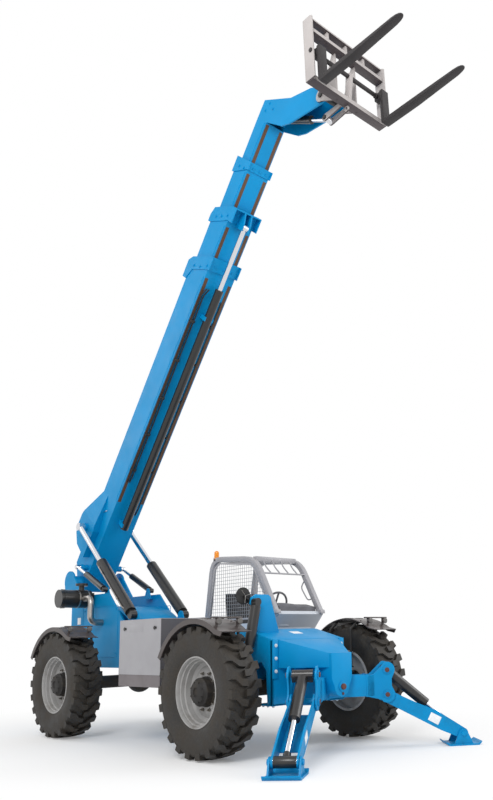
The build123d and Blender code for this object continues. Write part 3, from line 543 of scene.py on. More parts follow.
def lug():
    # one hooked bar from the shoulder past the centre line, as (distance round the tyre, distance across)
    half = tyre["half"]
    outline = [
        (-0.046, half), (0.046, half), (0.052, 0.128), (0.122, 0.062), (0.130, -0.012), (0.058, -0.012),
        (0.048, 0.052), (-0.034, 0.118),
    ]
    shape = bmesh.new()
    shape.faces.new([shape.verts.new((s, y, 0)) for s, y in outline])
    bmesh.ops.subdivide_edges(shape, edges=list(shape.edges), cuts=1)
    foot = list(shape.faces)
    for grown in bmesh.ops.extrude_face_region(shape, geom=foot)["geom"]:
        if isinstance(grown, bmesh.types.BMVert):
            grown.co.z = 1
    bmesh.ops.delete(shape, geom=foot, context="FACES")
    for corner in shape.verts:
        s, y, onTop = corner.co.x, corner.co.y, corner.co.z > 0.5
        outer = y > half - 1e-6
        radius = tyre["radius"] - tyre["shoulderDrop"] * (abs(y) / half) ** 2 if onTop else tyre["lugRoot"]
        if outer:
            # the shoulder end runs on down the sidewall
            radius = radius if onTop else tyre["lugFoot"]
            y = half - (0.004 if onTop else 0.003)
        angle = (tyre["lugMiddle"] + (s - tyre["lugMiddle"]) * tyre["lugTaper"][onTop]) / tyre["radius"]
        corner.co = Vector((math.sin(angle) * radius, y, math.cos(angle) * radius))
    return outward(shape)


def addTyre(corner):
    made = Form(placed(middle("tyre_" + corner) - at(0, 0, 0)))
    made.add(lathe(carcassProfile(), tyre["steps"]))
    pitch = math.tau / tyre["lugs"]
    for i in range(tyre["lugs"]):
        made.add(lug(), turn=Matrix.Rotation(i * pitch, 4, "Y"))
        made.add(lug(), turn=Matrix.Rotation((i + 0.5) * pitch, 4, "Y") @ mirrorY)
    made.keep("tyre_tread_" + corner, "wheel_" + corner, "tyre", "tyre_rubber", 35, "tyre_" + corner)


for corner in corners:
    addTyre(corner)
print("tyres made")

# wheel: stepped dish, hub and its bolts
wheel = {
    "lip": 0.366, "seat": 0.3495, "inner": 0.338, "half": 0.158, "bolts": 10, "boltRing": 0.193,
    "hub": 0.146, "hubReach": 0.140, "capBolts": 8, "capRing": 0.104,
}


def dishProfile():
    lip, seat, inner, half = wheel["lip"], wheel["seat"], wheel["inner"], wheel["half"]
    return [
        (0.05, -0.020), (0.205, -0.020), (0.262, -0.052), (inner, -0.060), (inner, -half), (lip, -half),
        (lip, -half + 0.008), (seat, -half + 0.012), (seat, half - 0.012), (lip, half - 0.008),
        (lip + 0.002, half - 0.004), (lip, half), (0.354, half), (0.349, half - 0.010),
        (0.345, half - 0.040), (0.334, half - 0.046), (0.330, half - 0.085), (0.318, half - 0.094),
        (0.312, 0.006), (0.300, -0.004), (0.272, -0.010), (0.236, 0.012), (0.214, 0.016), (0.05, 0.016),
    ]


def hubProfile():
    hub, reach = wheel["hub"], wheel["hubReach"]
    return [
        (0.0, -0.06), (0.115, -0.06), (0.115, 0.014), (hub + 0.012, 0.016), (hub + 0.012, 0.030),
        (hub + 0.004, 0.034), (hub, 0.104), (hub - 0.020, 0.116), (hub - 0.030, reach - 0.002),
        (hub - 0.054, reach + 0.008), (0.050, reach + 0.010), (0.046, reach), (0.0, reach),
    ]


def addWheel(corner):
    turn, body = cornerTurn(corner), "wheel_" + corner
    dish = Form(turn).add(lathe(dishProfile(), 72, closed=True))
    dish.keep("rim_dish_" + corner, body, "silver", "silver_paint", 35, "rim_" + corner)
    cap = Form(turn).add(lathe(hubProfile(), 48))
    for x, z in around(wheel["capBolts"], wheel["capRing"], math.pi / wheel["capBolts"]):
        cap.add(boltHead((x, wheel["hubReach"] - 0.003, z), (0, 1, 0), 0.008, 0.012))
    cap.keep("hub_cap_" + corner, body, "cast", None, 35)
    nuts = Form(turn)
    for x, z in around(wheel["bolts"], wheel["boltRing"]):
        nuts.add(rod((x, 0.010, z), (x, 0.024, z), 0.019, 20, 0.015))
        nuts.add(boltHead((x, 0.022, z), (0, 1, 0), 0.0125, 0.020))
        nuts.add(rod((x, 0.04, z), (x, 0.058, z), 0.007, 12))
    nuts.keep("wheel_nuts_" + corner, body, "nut")


for corner in corners:
    addWheel(corner)
print("wheels made")

# fender: arched sheet with a folded lip and a flat tail, and two lamps under a bar
fender = {
    "inner": 0.745, "wall": 0.010, "front": 57, "rear": 152, "tail": 0.115, "slope": 12, "lip": 0.045,
    "near": -0.175, "far": 0.195, "strap": 0.05, "strapAngles": (112, 84), "boltRows": 4, "boltStep": 24,
    "rackX": 0.35, "rackTop": 0.762, "lampRadius": 0.036, "lampDrop": 0.046,
}


def fenderBand(low, high, y0, y1):
    # a bent strip between two radii, run on as the flat tail
    arcs = [arcPoints((0, 0), radius, fender["rear"], fender["front"], 24) for radius in (low, high)]
    loops = [[(x0, y0, z0), (x0, y1, z0), (x1, y1, z1), (x1, y0, z1)] for (x0, z0), (x1, z1) in zip(*arcs)]
    slope = math.radians(fender["slope"])
    way = Vector((math.cos(slope), 0, -math.sin(slope))) * fender["tail"]
    loops.append([tuple(Vector(p) + way) for p in loops[-1]])
    return loft(loops)


def addFender(corner):
    f = fender
    body = bodyOf["fender_" + corner]
    near, far, outer = f["near"], f["far"], f["inner"] + f["wall"]
    made = Form(cornerTurn(corner))
    made.add(fenderBand(f["inner"], outer, near, far))
    made.add(fenderBand(f["inner"] - f["lip"], outer, far - 0.002, far + 0.008))
    start, end = f["strapAngles"]
    strap = arcPoints((0, 0), outer + 0.006, start, end, 8) + arcPoints((0, 0), outer, end, start, 8)
    for y in (near + 0.03, near + 0.20):
        made.add(plate(strap, y, y + f["strap"]))
    x, top = f["rackX"], f["rackTop"]
    foot = math.sqrt(outer ** 2 - x ** 2) - 0.006
    lampZ, lampYs = top - f["lampDrop"], (near + 0.06, far - 0.05)
    made.add(slab(x - 0.020, x + 0.020, near + 0.005, far + 0.008, top - 0.016, top), 0.003)
    for y in lampYs:
        made.add(slab(x - 0.012, x + 0.012, y - 0.010, y + 0.010, foot, top - 0.010))
        made.add(rod((x + 0.010, y, lampZ), (x + 0.050, y, lampZ), 0.026, 24, f["lampRadius"]), 0.003)
        made.add(slab(x - 0.004, x + 0.014, y - 0.016, y + 0.016, lampZ - 0.014, top - 0.020), 0.003)
    for i in range(f["boltRows"]):
        angle = math.radians(f["rear"] - 8 - i * f["boltStep"])
        way = Vector((math.cos(angle), 0, math.sin(angle)))
        for y in (near + 0.055, near + 0.225):
            made.add(boltHead(way * outer + Vector((0, y, 0)), way, 0.008, 0.006))
    made.keep("fender_sheet_" + corner, body, "fender", "black_paint", 30, "fender_" + corner)
    lens = Form(cornerTurn(corner))
    glass = f["lampRadius"] - 0.004
    for y in lampYs:
        lens.add(rod((x + 0.048, y, lampZ), (x + 0.054, y, lampZ), glass, 24, glass - 0.004), 0.002)
    lens.keep("lamp_lens_" + corner, body, "lens")


for corner in corners:
    addFender(corner)
print("fenders made")

# nose: side plates, sloping lid and a beak down to the centre pin
nose = {
    "half": 0.53, "rear": 3.01, "face": 3.663, "top": 1.203, "crest": (3.2, 1.322), "foot": 0.51,
    "sheet": 0.02, "tip": 4.19, "tipHalf": 0.15, "tipTop": 1.048, "tipLength": 0.31, "bottom": 0.895,
    "pinZ": 0.69, "chin": 0.107, "hangers": (2.855, 3.69), "hangerWall": 0.03, "earX": 3.324,
    "earWall": 0.025, "lidSlope": 14.4, "boltRows": (1.139, 1.002, 0.866), "footBolts": (3.44, 3.52, 3.61),
    "hanger": [(-0.25, 0.56), (0.25, 0.56), (0.25, 0.91), (0.2, 0.96), (-0.2, 0.96), (-0.25, 0.91)],
    "ear": [(-0.48, 1.19), (-0.15, 1.19), (-0.172, 1.286), (-0.275, 1.62), (-0.29, 1.685), (-0.33, 1.708),
            (-0.50, 1.708), (-0.565, 1.67), (-0.578, 1.60), (-0.55, 1.576), (-0.51, 1.576), (-0.482, 1.556),
            (-0.48, 1.36)],
}
# outrigger beam: counted from the leg's pin, with the ram's pin straight above it
beam = {
    "pin": (4.25, 0.606, 0.578), "splay": 37.9, "ramPin": 0.265, "lobe": 0.088, "half": 0.153, "wall": 0.020,
    "right": 0.133, "root": -0.70, "boss": 0.046, "pinHead": 0.026, "legLean": 28.1, "legHalf": 0.128,
    "footPin": (0.841, -0.449), "sleeve": 0.0535, "sleeveHalf": 0.1065,
}
beamTurn = placed(beam["pin"], 90 - beam["splay"], "Z")


def outriggerBeam():
    b = beam
    made = Form(beamTurn)
    lobes = [(-0.06, -0.055), (-0.045, -0.078)] + arcPoints((0, 0), b["lobe"], -100, 30, 10) + \
        [(0.052, 0.09), (0.052, 0.17)] + arcPoints((0, b["ramPin"]), b["lobe"], -30, 100, 10) + \
        [(-0.16, 0.215), (-0.23, 0.215), (-0.23, -0.015)]
    for y in (b["right"], -b["half"]):
        made.add(plate(lobes, y, y + b["wall"]), 0.003)
    made.add(slab(b["root"], -0.14, -b["half"], b["right"], -0.015, 0.215), 0.004)
    made.add(slab(-0.232, -0.214, -b["half"] - 0.005, b["half"] + 0.005, -0.02, 0.222), 0.003)
    for z in (0, b["ramPin"]):
        for sign in (1, -1):
            y = sign * b["half"]
            made.add(rod((0, y, z), (0, y + sign * 0.012, z), b["boss"], 28), 0.003)
    return made.mesh


def addNoseShell():
    n = nose
    half, rear, face, top, foot = n["half"], n["rear"], n["face"], n["top"], n["foot"]
    (crestX, crestZ), low, pinZ = n["crest"], n["bottom"], n["pinZ"]
    tip, tipHalf, tipTop = n["tip"], n["tipHalf"], n["tipTop"]
    made = Form()
    side = [(rear, 1.01), (rear, 1.31), (crestX, crestZ), (face, top), (face, foot), (3.58, foot),
            (3.56, 0.88), (3.48, 0.96), (3.2, 0.96)]
    made.add(plate(side, half - n["sheet"], half), 0.004, both=True)
    lid = [(rear, 1.29), (rear, 1.312), (crestX, crestZ + 0.002), (face, top + 0.002), (face, top - 0.018),
           (crestX, crestZ - 0.018)]
    made.add(plate(lid, -half + 0.018, half - 0.018), 0.003)
    beak = ((face - 0.002, half - 0.078, top), (tip - 0.04, tipHalf, tipTop))
    made.add(loft([[(x, -w, low), (x, w, low), (x, w, h), (x, -w, h)] for x, w, h in beak]), 0.006)
    end = [(-tipHalf, tipTop), (-tipHalf, pinZ + 0.09)] + arcPoints((0, pinZ), n["chin"], 180, 360, 16) + \
        [(tipHalf, pinZ + 0.09), (tipHalf, tipTop)]
    made.add(plate(end, tip - n["tipLength"], tip, "YZ"), 0.005)
    wall = [(-half, foot), (half, foot), (half, top - 0.01), (-half, top - 0.01)]
    made.add(plate(wall, face - 0.025, face, "YZ"))
    made.add(slab(face, face + 0.014, half - 0.075, half, low - 0.105, top + 0.002), 0.003, both=True)
    made.add(slab(3.40, face, 0.31, half, foot - 0.008, foot + 0.012), 0.003, both=True)
    made.add(slab(rear, rear + 0.02, -half + 0.01, half - 0.01, 1.01, 1.30))
    for x in n["hangers"]:
        made.add(plate(n["hanger"], x, x + n["hangerWall"], "YZ"), 0.004)
    made.add(plate(n["ear"], n["earX"], n["earX"] + n["earWall"], "YZ"), 0.004)
    made.add(outriggerBeam(), both=True)
    made.keep("nose_shell", "machine", "blue", "frame_blue", 30, "front_nose")


def addNoseFittings():
    n, b = nose, beam
    tip, pinZ, foot = n["tip"], n["pinZ"], n["foot"]
    boss = Form().add(rod((tip - 0.002, 0, pinZ), (tip + 0.012, 0, pinZ), 0.054, 32), 0.003)
    boss.keep("nose_boss", "machine", "blue")
    pins = Form().add(rod((tip + 0.010, 0, pinZ), (tip + 0.034, 0, pinZ), 0.032, 32), 0.004)
    pins.add(boltHead((tip, 0.01, pinZ - 0.075), (1, 0, 0), 0.010, 0.012))
    for z in (0, b["ramPin"]):
        for sign in (1, -1):
            y = sign * (b["half"] + 0.012)
            head = rod((0, y, z), (0, y + sign * 0.012, z), b["pinHead"], 24)
            pins.add(head, 0.004, both=True, turn=beamTurn)
    pins.keep("nose_pins", "machine", "pinHead")
    bolts = Form()
    for z in n["boltRows"]:
        bolts.add(boltHead((n["face"] + 0.014, -0.487, z), (1, 0, 0), 0.013, 0.014), both=True)
    for x in n["footBolts"]:
        bolts.add(boltHead((x, 0.47, foot - 0.008), (0, 0, -1), 0.014, 0.018), both=True)
    bolts.keep("nose_bolts", "machine", "zinc")
    onLid = placed((n["crest"][0], 0, n["crest"][1] + 0.002), n["lidSlope"])
    Form(onLid).add(slab(0.14, 0.24, -0.02, 0.12, 0, 0.0012), 0.0004).keep("nose_label", "machine", "label")


def addLegFittings(word, turn):
    b = beam
    blank = Form(turn @ placed((0, 0, 0), b["legLean"]))
    for y in (-b["legHalf"] - 0.0015, b["legHalf"]):
        blank.add(slab(0.53, 0.66, y, y + 0.0015, -0.045, 0.045), 0.0005)
    blank.keep("leg_label_" + word, "outrigger_" + word, "label")
    # dark sleeve round the ram's foot pin
    x, z = b["footPin"]
    sleeve = Form(turn).add(rod((x, -b["sleeveHalf"], z), (x, b["sleeveHalf"], z), b["sleeve"], 32), 0.003)
    sleeve.add(rod((x - 0.075, 0, z + 0.064), (x - 0.028, 0, z + 0.024), 0.036, 24), 0.003)
    sleeve.keep("leg_sleeve_" + word, bodyOf["leg_rod_" + word], "black")


addNoseShell()
addNoseFittings()
addLegFittings("left", beamTurn)
addLegFittings("right", mirrorY @ beamTurn)
print("nose made")

# cab: bent arches, roof and guard bars, side mesh and instrument cowl
cab = {
    "sill": 1.42, "y0": 0.39, "y1": 1.145, "bar": 0.07, "bend": 0.205, "roofBars": 4, "thinBar": 0.009,
    "path": [(1.105, 1.40), (1.245, 2.327), (2.183, 2.258), (2.598, 1.56)],
    "guard": (2.325, 2.063), "grip": [(2.345, 2.016), (2.242, 1.898), (2.387, 1.707), (2.495, 1.745)],
    "mesh": [(1.16, 1.47), (1.29, 2.20), (1.40, 2.262), (2.12, 2.21), (2.19, 2.17), (2.50, 1.64),
             (2.44, 1.60), (2.30, 1.47)],
    "meshX": (1.14, 2.5), "meshZ": (1.49, 2.26), "meshBorder": 0.035, "pitch": 0.047, "wire": 0.0026,
    "cowl": [(0.445, 1.48), (0.445, 1.64), (0.46, 1.656), (0.50, 1.666), (0.60, 1.666), (0.74, 1.655),
             (0.90, 1.632), (1.02, 1.59), (1.085, 1.54), (1.085, 1.48)],
    "cowlX": (2.32, 2.545), "ventSlots": 6, "ventPitch": 0.010,
}


def addArches():
    c = cab
    y0, y1, sill, half, thin = c["y0"], c["y1"], c["sill"], c["bar"] / 2, c["thinBar"]
    made = Form()
    shoe = [(2.54, 1.53), (2.66, 1.53), (2.652, 1.575), (2.56, 1.60)]
    for y in (y0, y1):
        # four sides turned by an eighth make a square tube
        route = [(x, y, z) for x, z in c["path"]]
        made.add(pipe(route, half * math.sqrt(2), c["bend"], 4, math.pi / 4), 0.008)
        made.add(slab(1.075, 1.145, y - half, y + half, sill - 0.005, sill + 0.06), 0.004)
        made.add(plate(shoe, y - half - 0.004, y + half + 0.004), 0.004)
    rearX, rearZ = c["path"][1][0] + 0.11, c["path"][1][1] - 0.008
    frontX, frontZ = c["path"][2][0] - 0.06, c["path"][2][1] + 0.004
    near, far = y0 + half - 0.002, y1 - half + 0.002
    for x, z in ((rearX, rearZ), (frontX, frontZ)):
        made.add(slab(x - half, x + half, near, far, z - half, z + half), 0.006)
    roof = [(rearX, rearZ - 0.008), (rearX, rearZ + 0.016), (frontX, frontZ + 0.016),
            (frontX, frontZ - 0.008)]
    guardX, guardZ = c["guard"]
    edge = frontX + half
    for i in range(c["roofBars"]):
        y = y0 + (i + 1) * (y1 - y0) / (c["roofBars"] + 1)
        made.add(plate(roof, y - thin, y + thin), 0.003)
        route = [(edge - 0.004, y, frontZ - 0.01), (edge + 0.05, y, frontZ - 0.10), (guardX, y, guardZ)]
        made.add(pipe(route, thin, 0.05, 10))
    made.add(rod((guardX, near, guardZ), (guardX, far, guardZ), 0.011, 16))
    made.add(slab(1.09, 1.15, near, far, sill, sill + 0.06), 0.004)
    made.add(pipe([(x, y1 - half + 0.014, z) for x, z in c["grip"]], thin, 0.055, 10))
    made.add(slab(1.27, 1.35, y0 - 0.03, y0 + 0.03, 2.27, 2.345), 0.006)
    made.keep("cab_arches", "machine", "grey", "light_grey_paint", 35, "rops_frame")


def pairs(points):
    return list(zip(points, points[1:] + points[:1]))


def inset(points, size):
    # the outline moved inwards by size
    centre = sum((Vector(p) for p in points), Vector((0, 0))) / len(points)
    return [tuple(Vector(p) + (centre - Vector(p)).normalized() * size) for p in points]


def span(points, value, axis):
    # where a line at this x (axis 0) or z (axis 1) crosses the outline
    found = []
    for a, b in pairs(points):
        if (a[axis] - value) * (b[axis] - value) < 0:
            t = (value - a[axis]) / (b[axis] - a[axis])
            found.append(a[1 - axis] + t * (b[1 - axis] - a[1 - axis]))
    return (min(found), max(found)) if len(found) > 1 and max(found) - min(found) > 0.06 else None


def addMesh():
    # woven guard in a flat frame plate inside the right-hand arch
    c = cab
    y, edge, inner = c["y0"], c["mesh"], inset(c["mesh"], c["meshBorder"])
    flat = Form()
    for (a, b), (d, e) in zip(pairs(edge), pairs(inner)):
        flat.add(plate([a, b, e, d], y - 0.030, y - 0.024))
    flat.keep("mesh_border", "machine", "grey")
    wires = Form()
    for axis, (low, high), depth in ((0, c["meshX"], y - 0.027), (1, c["meshZ"], y - 0.0315)):
        place = low
        while place < high:
            cut = span(inner, place, axis)
            if cut:
                ends = [(place, depth, cut[0] - 0.02), (place, depth, cut[1] + 0.02)]
                ends = [end[::-1] for end in ends] if axis else ends
                wires.add(rod(*ends, c["wire"], 6))
            place += c["pitch"]
    wires.keep("mesh_wires", "machine", "wire", "mesh_wire", 40, "side_mesh")


def addConsole():
    # cowl over the instruments, higher towards the middle of the machine
    Form().add(plate(cab["cowl"], *cab["cowlX"], "YZ"), 0.022).keep("cab_cowl", "machine", "dash")
    front = Form().add(slab(2.40, 2.47, 0.50, 1.10, 1.30, 1.47), 0.012)
    front.add(slab(2.47, 2.50, 0.52, 0.69, 1.37, 1.56), 0.014)
    front.keep("cab_front_panel", "machine", "pale")
    vent = Form()
    for i in range(cab["ventSlots"]):
        z = 1.402 + i * cab["ventPitch"]
        vent.add(slab(2.466, 2.474, 0.72, 0.835, z, z + 0.006), 0.001)
    vent.keep("cab_vent", "machine", "black")


addArches()
addMesh()
addConsole()
print("cab made")

# fork carriage and forks, counted from the carriage's pivot
carriage = {
    "pivot": (4.178, 0, 7.654), "lean": 3, "half": 0.612, "rear": 0.215, "front": 0.370, "foot": -0.225,
    "head": 0.595, "plate": 0.018, "rail": 0.44, "posts": (-0.3, 0, 0.3), "shaft": (0.330, 0.130),
    "shaftRadius": 0.025, "cheekY": 0.151, "cheek": 0.020, "crank": (-0.0615, -0.2171),
    "lugY": (0.0455, 0.065),
}
fork = {
    "y": 0.52, "half": 0.055, "thick": 0.05, "length": 1.22, "gap": 0.022, "hook": 0.045, "collar": 0.034,
}
carriageTurn = placed(carriage["pivot"], -carriage["lean"])


def addCarriage():
    k = carriage
    half, rear, front, foot, head, rail = k["half"], k["rear"], k["front"], k["foot"], k["head"], k["rail"]
    made = Form(carriageTurn)
    cheek = [(rear, foot), (front, foot), (front, head - 0.02), (front - 0.03, head), (rear, head)]
    made.add(plate(cheek, half - k["plate"], half), 0.003, both=True)
    inner = half - k["plate"] + 0.001
    made.add(slab(rear, front - 0.04, -inner, inner, foot, foot + 0.06), 0.003)
    made.add(slab(rear + 0.02, front - 0.02, -inner, inner, rail - 0.045, rail), 0.003)
    made.add(slab(rear + 0.02, front - 0.04, -inner, inner, head - 0.02, head), 0.003)
    rib = [(rear + 0.03, foot + 0.05), (rear + 0.09, foot + 0.05), (rear + 0.05, foot + 0.13),
           (rear + 0.03, foot + 0.13)]
    for y in k["posts"]:
        made.add(slab(rear + 0.04, front - 0.06, y - 0.015, y + 0.015, rail - 0.001, head - 0.019), 0.002)
        made.add(plate(rib, y - 0.008, y + 0.008))
    hanger = [(rear + 0.03, foot + 0.04), (front - 0.045, foot + 0.04)] + \
        arcPoints(k["shaft"], 0.045, -10, 190, 10)
    made.add(plate(hanger, -0.02, 0.02), 0.002)
    made.add(ring(0.018, 0.018, 0.008, 24), turn=placed((rear + 0.04, 0, foot - 0.034)))
    near, outer = k["cheekY"], k["cheekY"] + k["cheek"]
    arm = [(0.0, -0.085), (rear + 0.03, foot), (rear + 0.06, foot), (rear + 0.06, 0.42), (rear + 0.01, 0.42),
           (0.06, 0.07)] + arcPoints((0, 0), 0.085, 60, 260, 12)
    made.add(plate(arm, near, outer), 0.003, both=True)
    a, b = k["crank"]
    lug0, lug1 = k["lugY"]
    outline = arcPoints((a, b), 0.045, 90, 270, 8) + [(rear + 0.01, foot - 0.01), (rear + 0.01, foot + 0.05)]
    made.add(plate(outline, lug0, lug1), 0.002, both=True)
    made.keep("carriage_frame", "fork_carriage", "carriage", "light_grey_paint", 30, "carriage")
    pins = Form(carriageTurn).add(rod((0, outer, 0), (0, outer + 0.016, 0), 0.036, 28), 0.003, both=True)
    pins.add(rod((a, lug1, b), (a, lug1 + 0.015, b), 0.028, 24), 0.003, both=True)
    pins.add(rod((0, -near - 0.01, 0), (0, near + 0.01, 0), 0.034, 28))
    pins.keep("carriage_pins", "fork_carriage", "black")


def addForks():
    f, (x, z) = fork, carriage["shaft"]
    y, e, thick = f["y"], f["half"], f["thick"]
    heel, lead = carriage["foot"] - 0.015, carriage["front"] + f["gap"]
    end, sole = lead + f["length"], heel - thick
    made = Form(carriageTurn)
    shank = [(lead - 0.01, 0.175), (lead + 0.04, 0.175), (lead + 0.04, heel + 0.02), (lead + 0.05, heel),
             (lead + 0.05, sole), (lead + 0.01, sole), (lead - 0.005, sole + 0.012),
             (lead - 0.01, sole + 0.03)]
    made.add(plate(shank, y - e, y + e), 0.004, both=True)
    # blade as x, half width, sole and top
    blade = [
        (lead + 0.045, e, sole, heel), (lead + 0.5, e, sole, heel),
        (end - 0.12, e - 0.004, heel - 0.024, heel), (end - 0.06, e - 0.010, heel - 0.018, heel),
        (end - 0.022, e - 0.022, heel - 0.016, heel - 0.001),
        (end - 0.006, e - 0.036, heel - 0.014, heel - 0.003), (end, 0.006, heel - 0.012, heel - 0.005),
    ]
    loops = [[(u, y - w, z0), (u, y + w, z0), (u, y + w, z1), (u, y - w, z1)] for u, w, z0, z1 in blade]
    made.add(loft(loops), 0.003, both=True)
    r = f["hook"]
    hook = [(x - r, z - r), (lead + 0.02, z - r), (lead + 0.02, z + 0.03), (lead, z + r)] + \
        arcPoints((x, z), r, 90, 180, 6)
    made.add(plate(hook, y - 0.04, y + 0.04), 0.004, both=True)
    reach = carriage["half"] + 0.015
    made.add(rod((x, -reach, z), (x, reach, z), carriage["shaftRadius"], 28), 0.003)
    for s in (y - 0.075, y + 0.060):
        made.add(rod((x, s, z), (x, s + 0.015, z), f["collar"], 28), 0.003, both=True)
    made.keep("fork_pair", "fork_carriage", "fork", "fork_steel", 30, "forks")


addCarriage()
addForks()
print("carriage made")

# turning beacon: black foot and a ribbed amber lens
beacon = {
    "place": (1.31, 0.39, 2.30), "radius": 0.034, "groove": 0.0318, "foot": 0.042, "ribs": 7, "rib": 0.012,
}


def addBeacon():
    b = beacon
    turn, up, r = placed(b["place"]), (0, 0, 1), b["foot"]
    foot = lathe([(0.0, 0.0), (r, 0.0), (r, 0.018), (r - 0.006, 0.026), (0.0, 0.026)], 32, up)
    Form(turn).add(foot).keep("beacon_foot", "machine", "black")
    profile = [(0.0, 0.026), (b["radius"] - 0.001, 0.026)]
    for i in range(b["ribs"]):
        profile += [(b["radius"], 0.032 + i * b["rib"]), (b["groove"], 0.038 + i * b["rib"])]
    profile += [(0.031, 0.122), (0.025, 0.134), (0.014, 0.141), (0.0, 0.143)]
    lens = Form(turn).add(lathe(profile, 36, up))
    lens.keep("beacon_lens", "machine", "amber", "beacon_amber", 30, "beacon")


addBeacon()
print("beacon made")

# boom: places along it (u), square to it (w) and across (y), counted from its pivot
boom = {
    "pivot": (-1.45, 2.17), "angle": 51.2, "axis": 0.132,
    # body, half width, half height, first and last place of the strips
    "sections": {
        "base": ("boom_1", 0.224, 0.2325, 1.55, 5.15), "second": ("boom_2", 0.198, 0.2075, 2.9, 5.88),
        "third": ("boom_3", 0.172, 0.158, 3.6, 6.615), "fly": ("boom_4", 0.148, 0.12, 4.1, 7.27),
    },
    # collar bolts: half width, bolts on the flanks as (u, w), and the row underneath
    "collars": {
        "boom_1": (0.236, [(5.20, 0.262), (5.235, 0.10), (5.30, -0.06)], (5.33, -0.1145)),
        "boom_2": (0.210, [(5.93, 0.228), (5.97, 0.10), (6.02, -0.04)], (6.06, -0.0895)),
        "boom_3": (0.184, [(6.655, 0.190), (6.655, 0.06)], (6.70, -0.04)),
    },
    "pipe": 0.010, "pipes": [(-0.150, 0.022), (-0.185, 0.018)], "clips": (2.1, 2.7, 3.3, 3.9, 4.5),
    "clip": 0.04, "footPipe": [(0.62, 0.26), (0.9, 0.30), (0.95, 0.16), (1.15, 0.20), (1.3, 0.05)],
    "footPipeY": 0.232, "neckBolts": [(7.42, 0.14), (7.52, 0.10), (7.47, -0.02)], "neckY": 0.148,
}
onBoom = placed((boom["pivot"][0], 0, boom["pivot"][1]), -boom["angle"])


def addSectionTrim(name, body, half, halfHeight, first, last):
    # wear strips along both edges of the underside, and weld beads along the corners
    low = boom["axis"] - halfHeight
    strip = slab(first, last, half - 0.060, half - 0.012, low - 0.0022, low + 0.001)
    Form(onBoom).add(strip, both=True).keep("boom_wear_" + name, body, "wear")
    bead = rod((first, half + 0.001, low + 0.035), (last, half + 0.001, low + 0.035), 0.004, 8)
    Form(onBoom).add(bead, both=True).keep("boom_weld_" + name, body, "blue")


def addCollarBolts(body, half, places, under):
    heads = Form(onBoom)
    for u, w in places:
        heads.add(boltHead((u, half, w), (0, 1, 0), 0.014, 0.012), both=True)
    reach = (half - 0.012) * 0.6
    for y in (-reach, 0, reach):
        heads.add(boltHead((under[0], y, under[1]), (0, 0, -1), 0.012, 0.010))
    heads.keep("collar_bolts_" + body, body, "blue")


def addBoomPipes():
    # steel pipes clipped under the lower boom beside the extension ram
    r, low = boom["pipe"], boom["axis"] - boom["sections"]["base"][2]
    lines = Form(onBoom)
    for y, w in boom["pipes"]:
        route = [(1.9, y, low - 0.002), (1.98, y, low - w), (4.92, y, low - w),
                 (5.02, y + 0.03, low - w - 0.03)]
        lines.add(pipe(route, r, 0.05, 8))
    route = [(1.35, 0.150, low - 0.002), (1.45, 0.150, low - 0.02), (4.9, 0.150, low - 0.02)]
    lines.add(pipe(route, r, 0.05, 8))
    lines.keep("boom_pipes", "boom_1", "hose")
    clips = Form(onBoom)
    for u in boom["clips"]:
        end = u + boom["clip"]
        clips.add(slab(u, end, -0.205, -0.130, low - 0.035, low + 0.001), 0.006)
        clips.add(boltHead(((u + end) / 2, -0.167, low - 0.034), (0, 0, -1), 0.008, 0.008))
        clips.add(slab(u, end, 0.130, 0.170, low - 0.035, low + 0.001), 0.006)
    clips.keep("boom_pipe_clips", "boom_1", "black")


def addBoomFittings():
    # stub on top, bent pipes by the boom's foot, and small bolts on the head's cheeks
    stub = rod((2.38, 0, 0.36), (2.38, 0, 0.40), 0.016, 20)
    Form(onBoom).add(stub, 0.002).keep("boom_stub", "boom_1", "black")
    feet = Form(onBoom)
    for y in (-boom["footPipeY"], boom["footPipeY"]):
        feet.add(pipe([(u, y, w) for u, w in boom["footPipe"]], 0.009, 0.07, 10))
    feet.keep("boom_foot_pipes", "boom_1", "chrome")
    neck = Form(onBoom)
    for u, w in boom["neckBolts"]:
        neck.add(boltHead((u, boom["neckY"], w), (0, 1, 0), 0.011, 0.010), both=True)
    neck.keep("neck_bolts", "boom_4", "blue")


for name, settings in boom["sections"].items():
    addSectionTrim(name, *settings)
for body, settings in boom["collars"].items():
    addCollarBolts(body, *settings)
addBoomPipes()
addBoomFittings()

# lift barrel: a thin pressure pipe along its outer side
barrel = {"foot": (0.484, 0.41, 1.59), "head": (-1.162, 0.41, 3.002), "near": 0.070, "off": 0.092,
          "pipe": 0.008, "reach": (0.14, 1.13), "clamps": (0.35, 0.95)}


def addBarrelPipes():
    b = barrel
    foot = Vector(b["foot"])
    way = (Vector(b["head"]) - foot).normalized()

    def beside(reach, off):
        return foot + way * reach + Vector((0, off, 0))
    (start, end), near, off = b["reach"], b["near"], b["off"]
    route = [beside(start, near), beside(start + 0.03, off), beside(end - 0.03, off), beside(end, near)]
    feeds = Form().add(pipe(route, b["pipe"], 0.02, 8), both=True)
    for reach in b["clamps"]:
        feeds.add(rod(beside(reach, off), beside(reach + 0.03, off), 0.013, 12), both=True)
    feeds.keep("lift_barrel_pipes", "lift_ram_barrels", "steel")


addBarrelPipes()
print("boom details made")

# tower and engine side, as x and z on the tower's flank and on the engine cover
tower = {
    "flank": 0.42, "labels": [(-1.12, -1.02, 1.50, 1.60), (-1.22, -1.14, 1.06, 1.15)],
    "panel": (-0.95, 0.10, 1.02, 1.74), "panelBolt": 0.05, "coverY": -1.12, "latches": (1.60, 2.28),
    "latch": 0.035, "canister": (-0.68, 1.86), "canisterRadius": 0.130, "clamps": (-0.86, -0.66, -0.52),
}


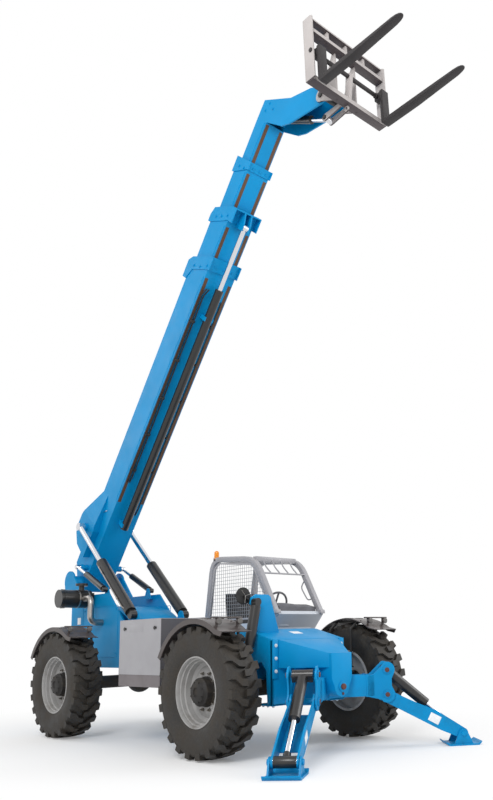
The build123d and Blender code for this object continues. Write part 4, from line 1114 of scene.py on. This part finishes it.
def addTowerDetails():
    t = tower
    y = t["coverY"]
    latches = Form()
    for x in t["latches"]:
        latches.add(slab(x - t["latch"], x + t["latch"], y - 0.007, y + 0.001, 1.36, 1.385), 0.004)
        latches.add(slab(x - 0.014, x + 0.014, y - 0.013, y - 0.006, 1.352, 1.393), 0.004)
    latches.keep("engine_lid_latches", "engine_cover", "black")
    badge = slab(1.70, 2.02, y - 0.0015, y + 0.0005, 1.33, 1.42)
    Form().add(badge, 0.0006).keep("engine_lid_plate", "engine_cover", "grey")
    y = -t["flank"]
    blanks = Form()
    for x0, x1, z0, z1 in t["labels"]:
        blanks.add(slab(x0, x1, y - 0.0025, y + 0.0005, z0, z1), 0.0006, both=True)
    blanks.keep("tower_labels", "machine", "label")
    x0, x1, z0, z1 = t["panel"]
    route = [(x0, z0), (x1, z0), (x1, z1), (x0, z1), (x0, z0)]
    edge = Form().add(pipe([(x, y - 0.001, z) for x, z in route], 0.004, 0.03, 6), both=True)
    for x in (x0 + t["panelBolt"], x1 - t["panelBolt"]):
        for z in (z0 + t["panelBolt"], z1 - t["panelBolt"]):
            edge.add(boltHead((x, y, z), (0, -1, 0), 0.010, 0.008), both=True)
    edge.keep("tower_panel_edge", "machine", "blue")
    x, z = t["canister"]
    clamps = Form()
    for y in t["clamps"]:
        clamps.add(ring(t["canisterRadius"] - 0.004, 0.008, 0.010, 40), turn=placed((x, y, z)))
    clamps.keep("air_cleaner_clamps", "machine", "steel")


addTowerDetails()
print("tower details made")

# stays behind the mirror disc
mirror = {"stays": 3, "firstAngle": 0.3, "spread": 0.085, "wire": 0.0028}


def addMirrorStays():
    m = mirror
    centre, front = middle("mirror") - at(0, 0, 0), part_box("mirror")[1].x - rearAxleX
    stays = Form()
    start = centre + Vector((0.012, 0, 0))
    for y, z in around(m["stays"], m["spread"], m["firstAngle"]):
        stays.add(rod(start, (front + 0.004, centre.y + y, centre.z + z), m["wire"], 8))
    stays.keep("mirror_stays", "machine", "steel")


addMirrorStays()
print("fittings made")
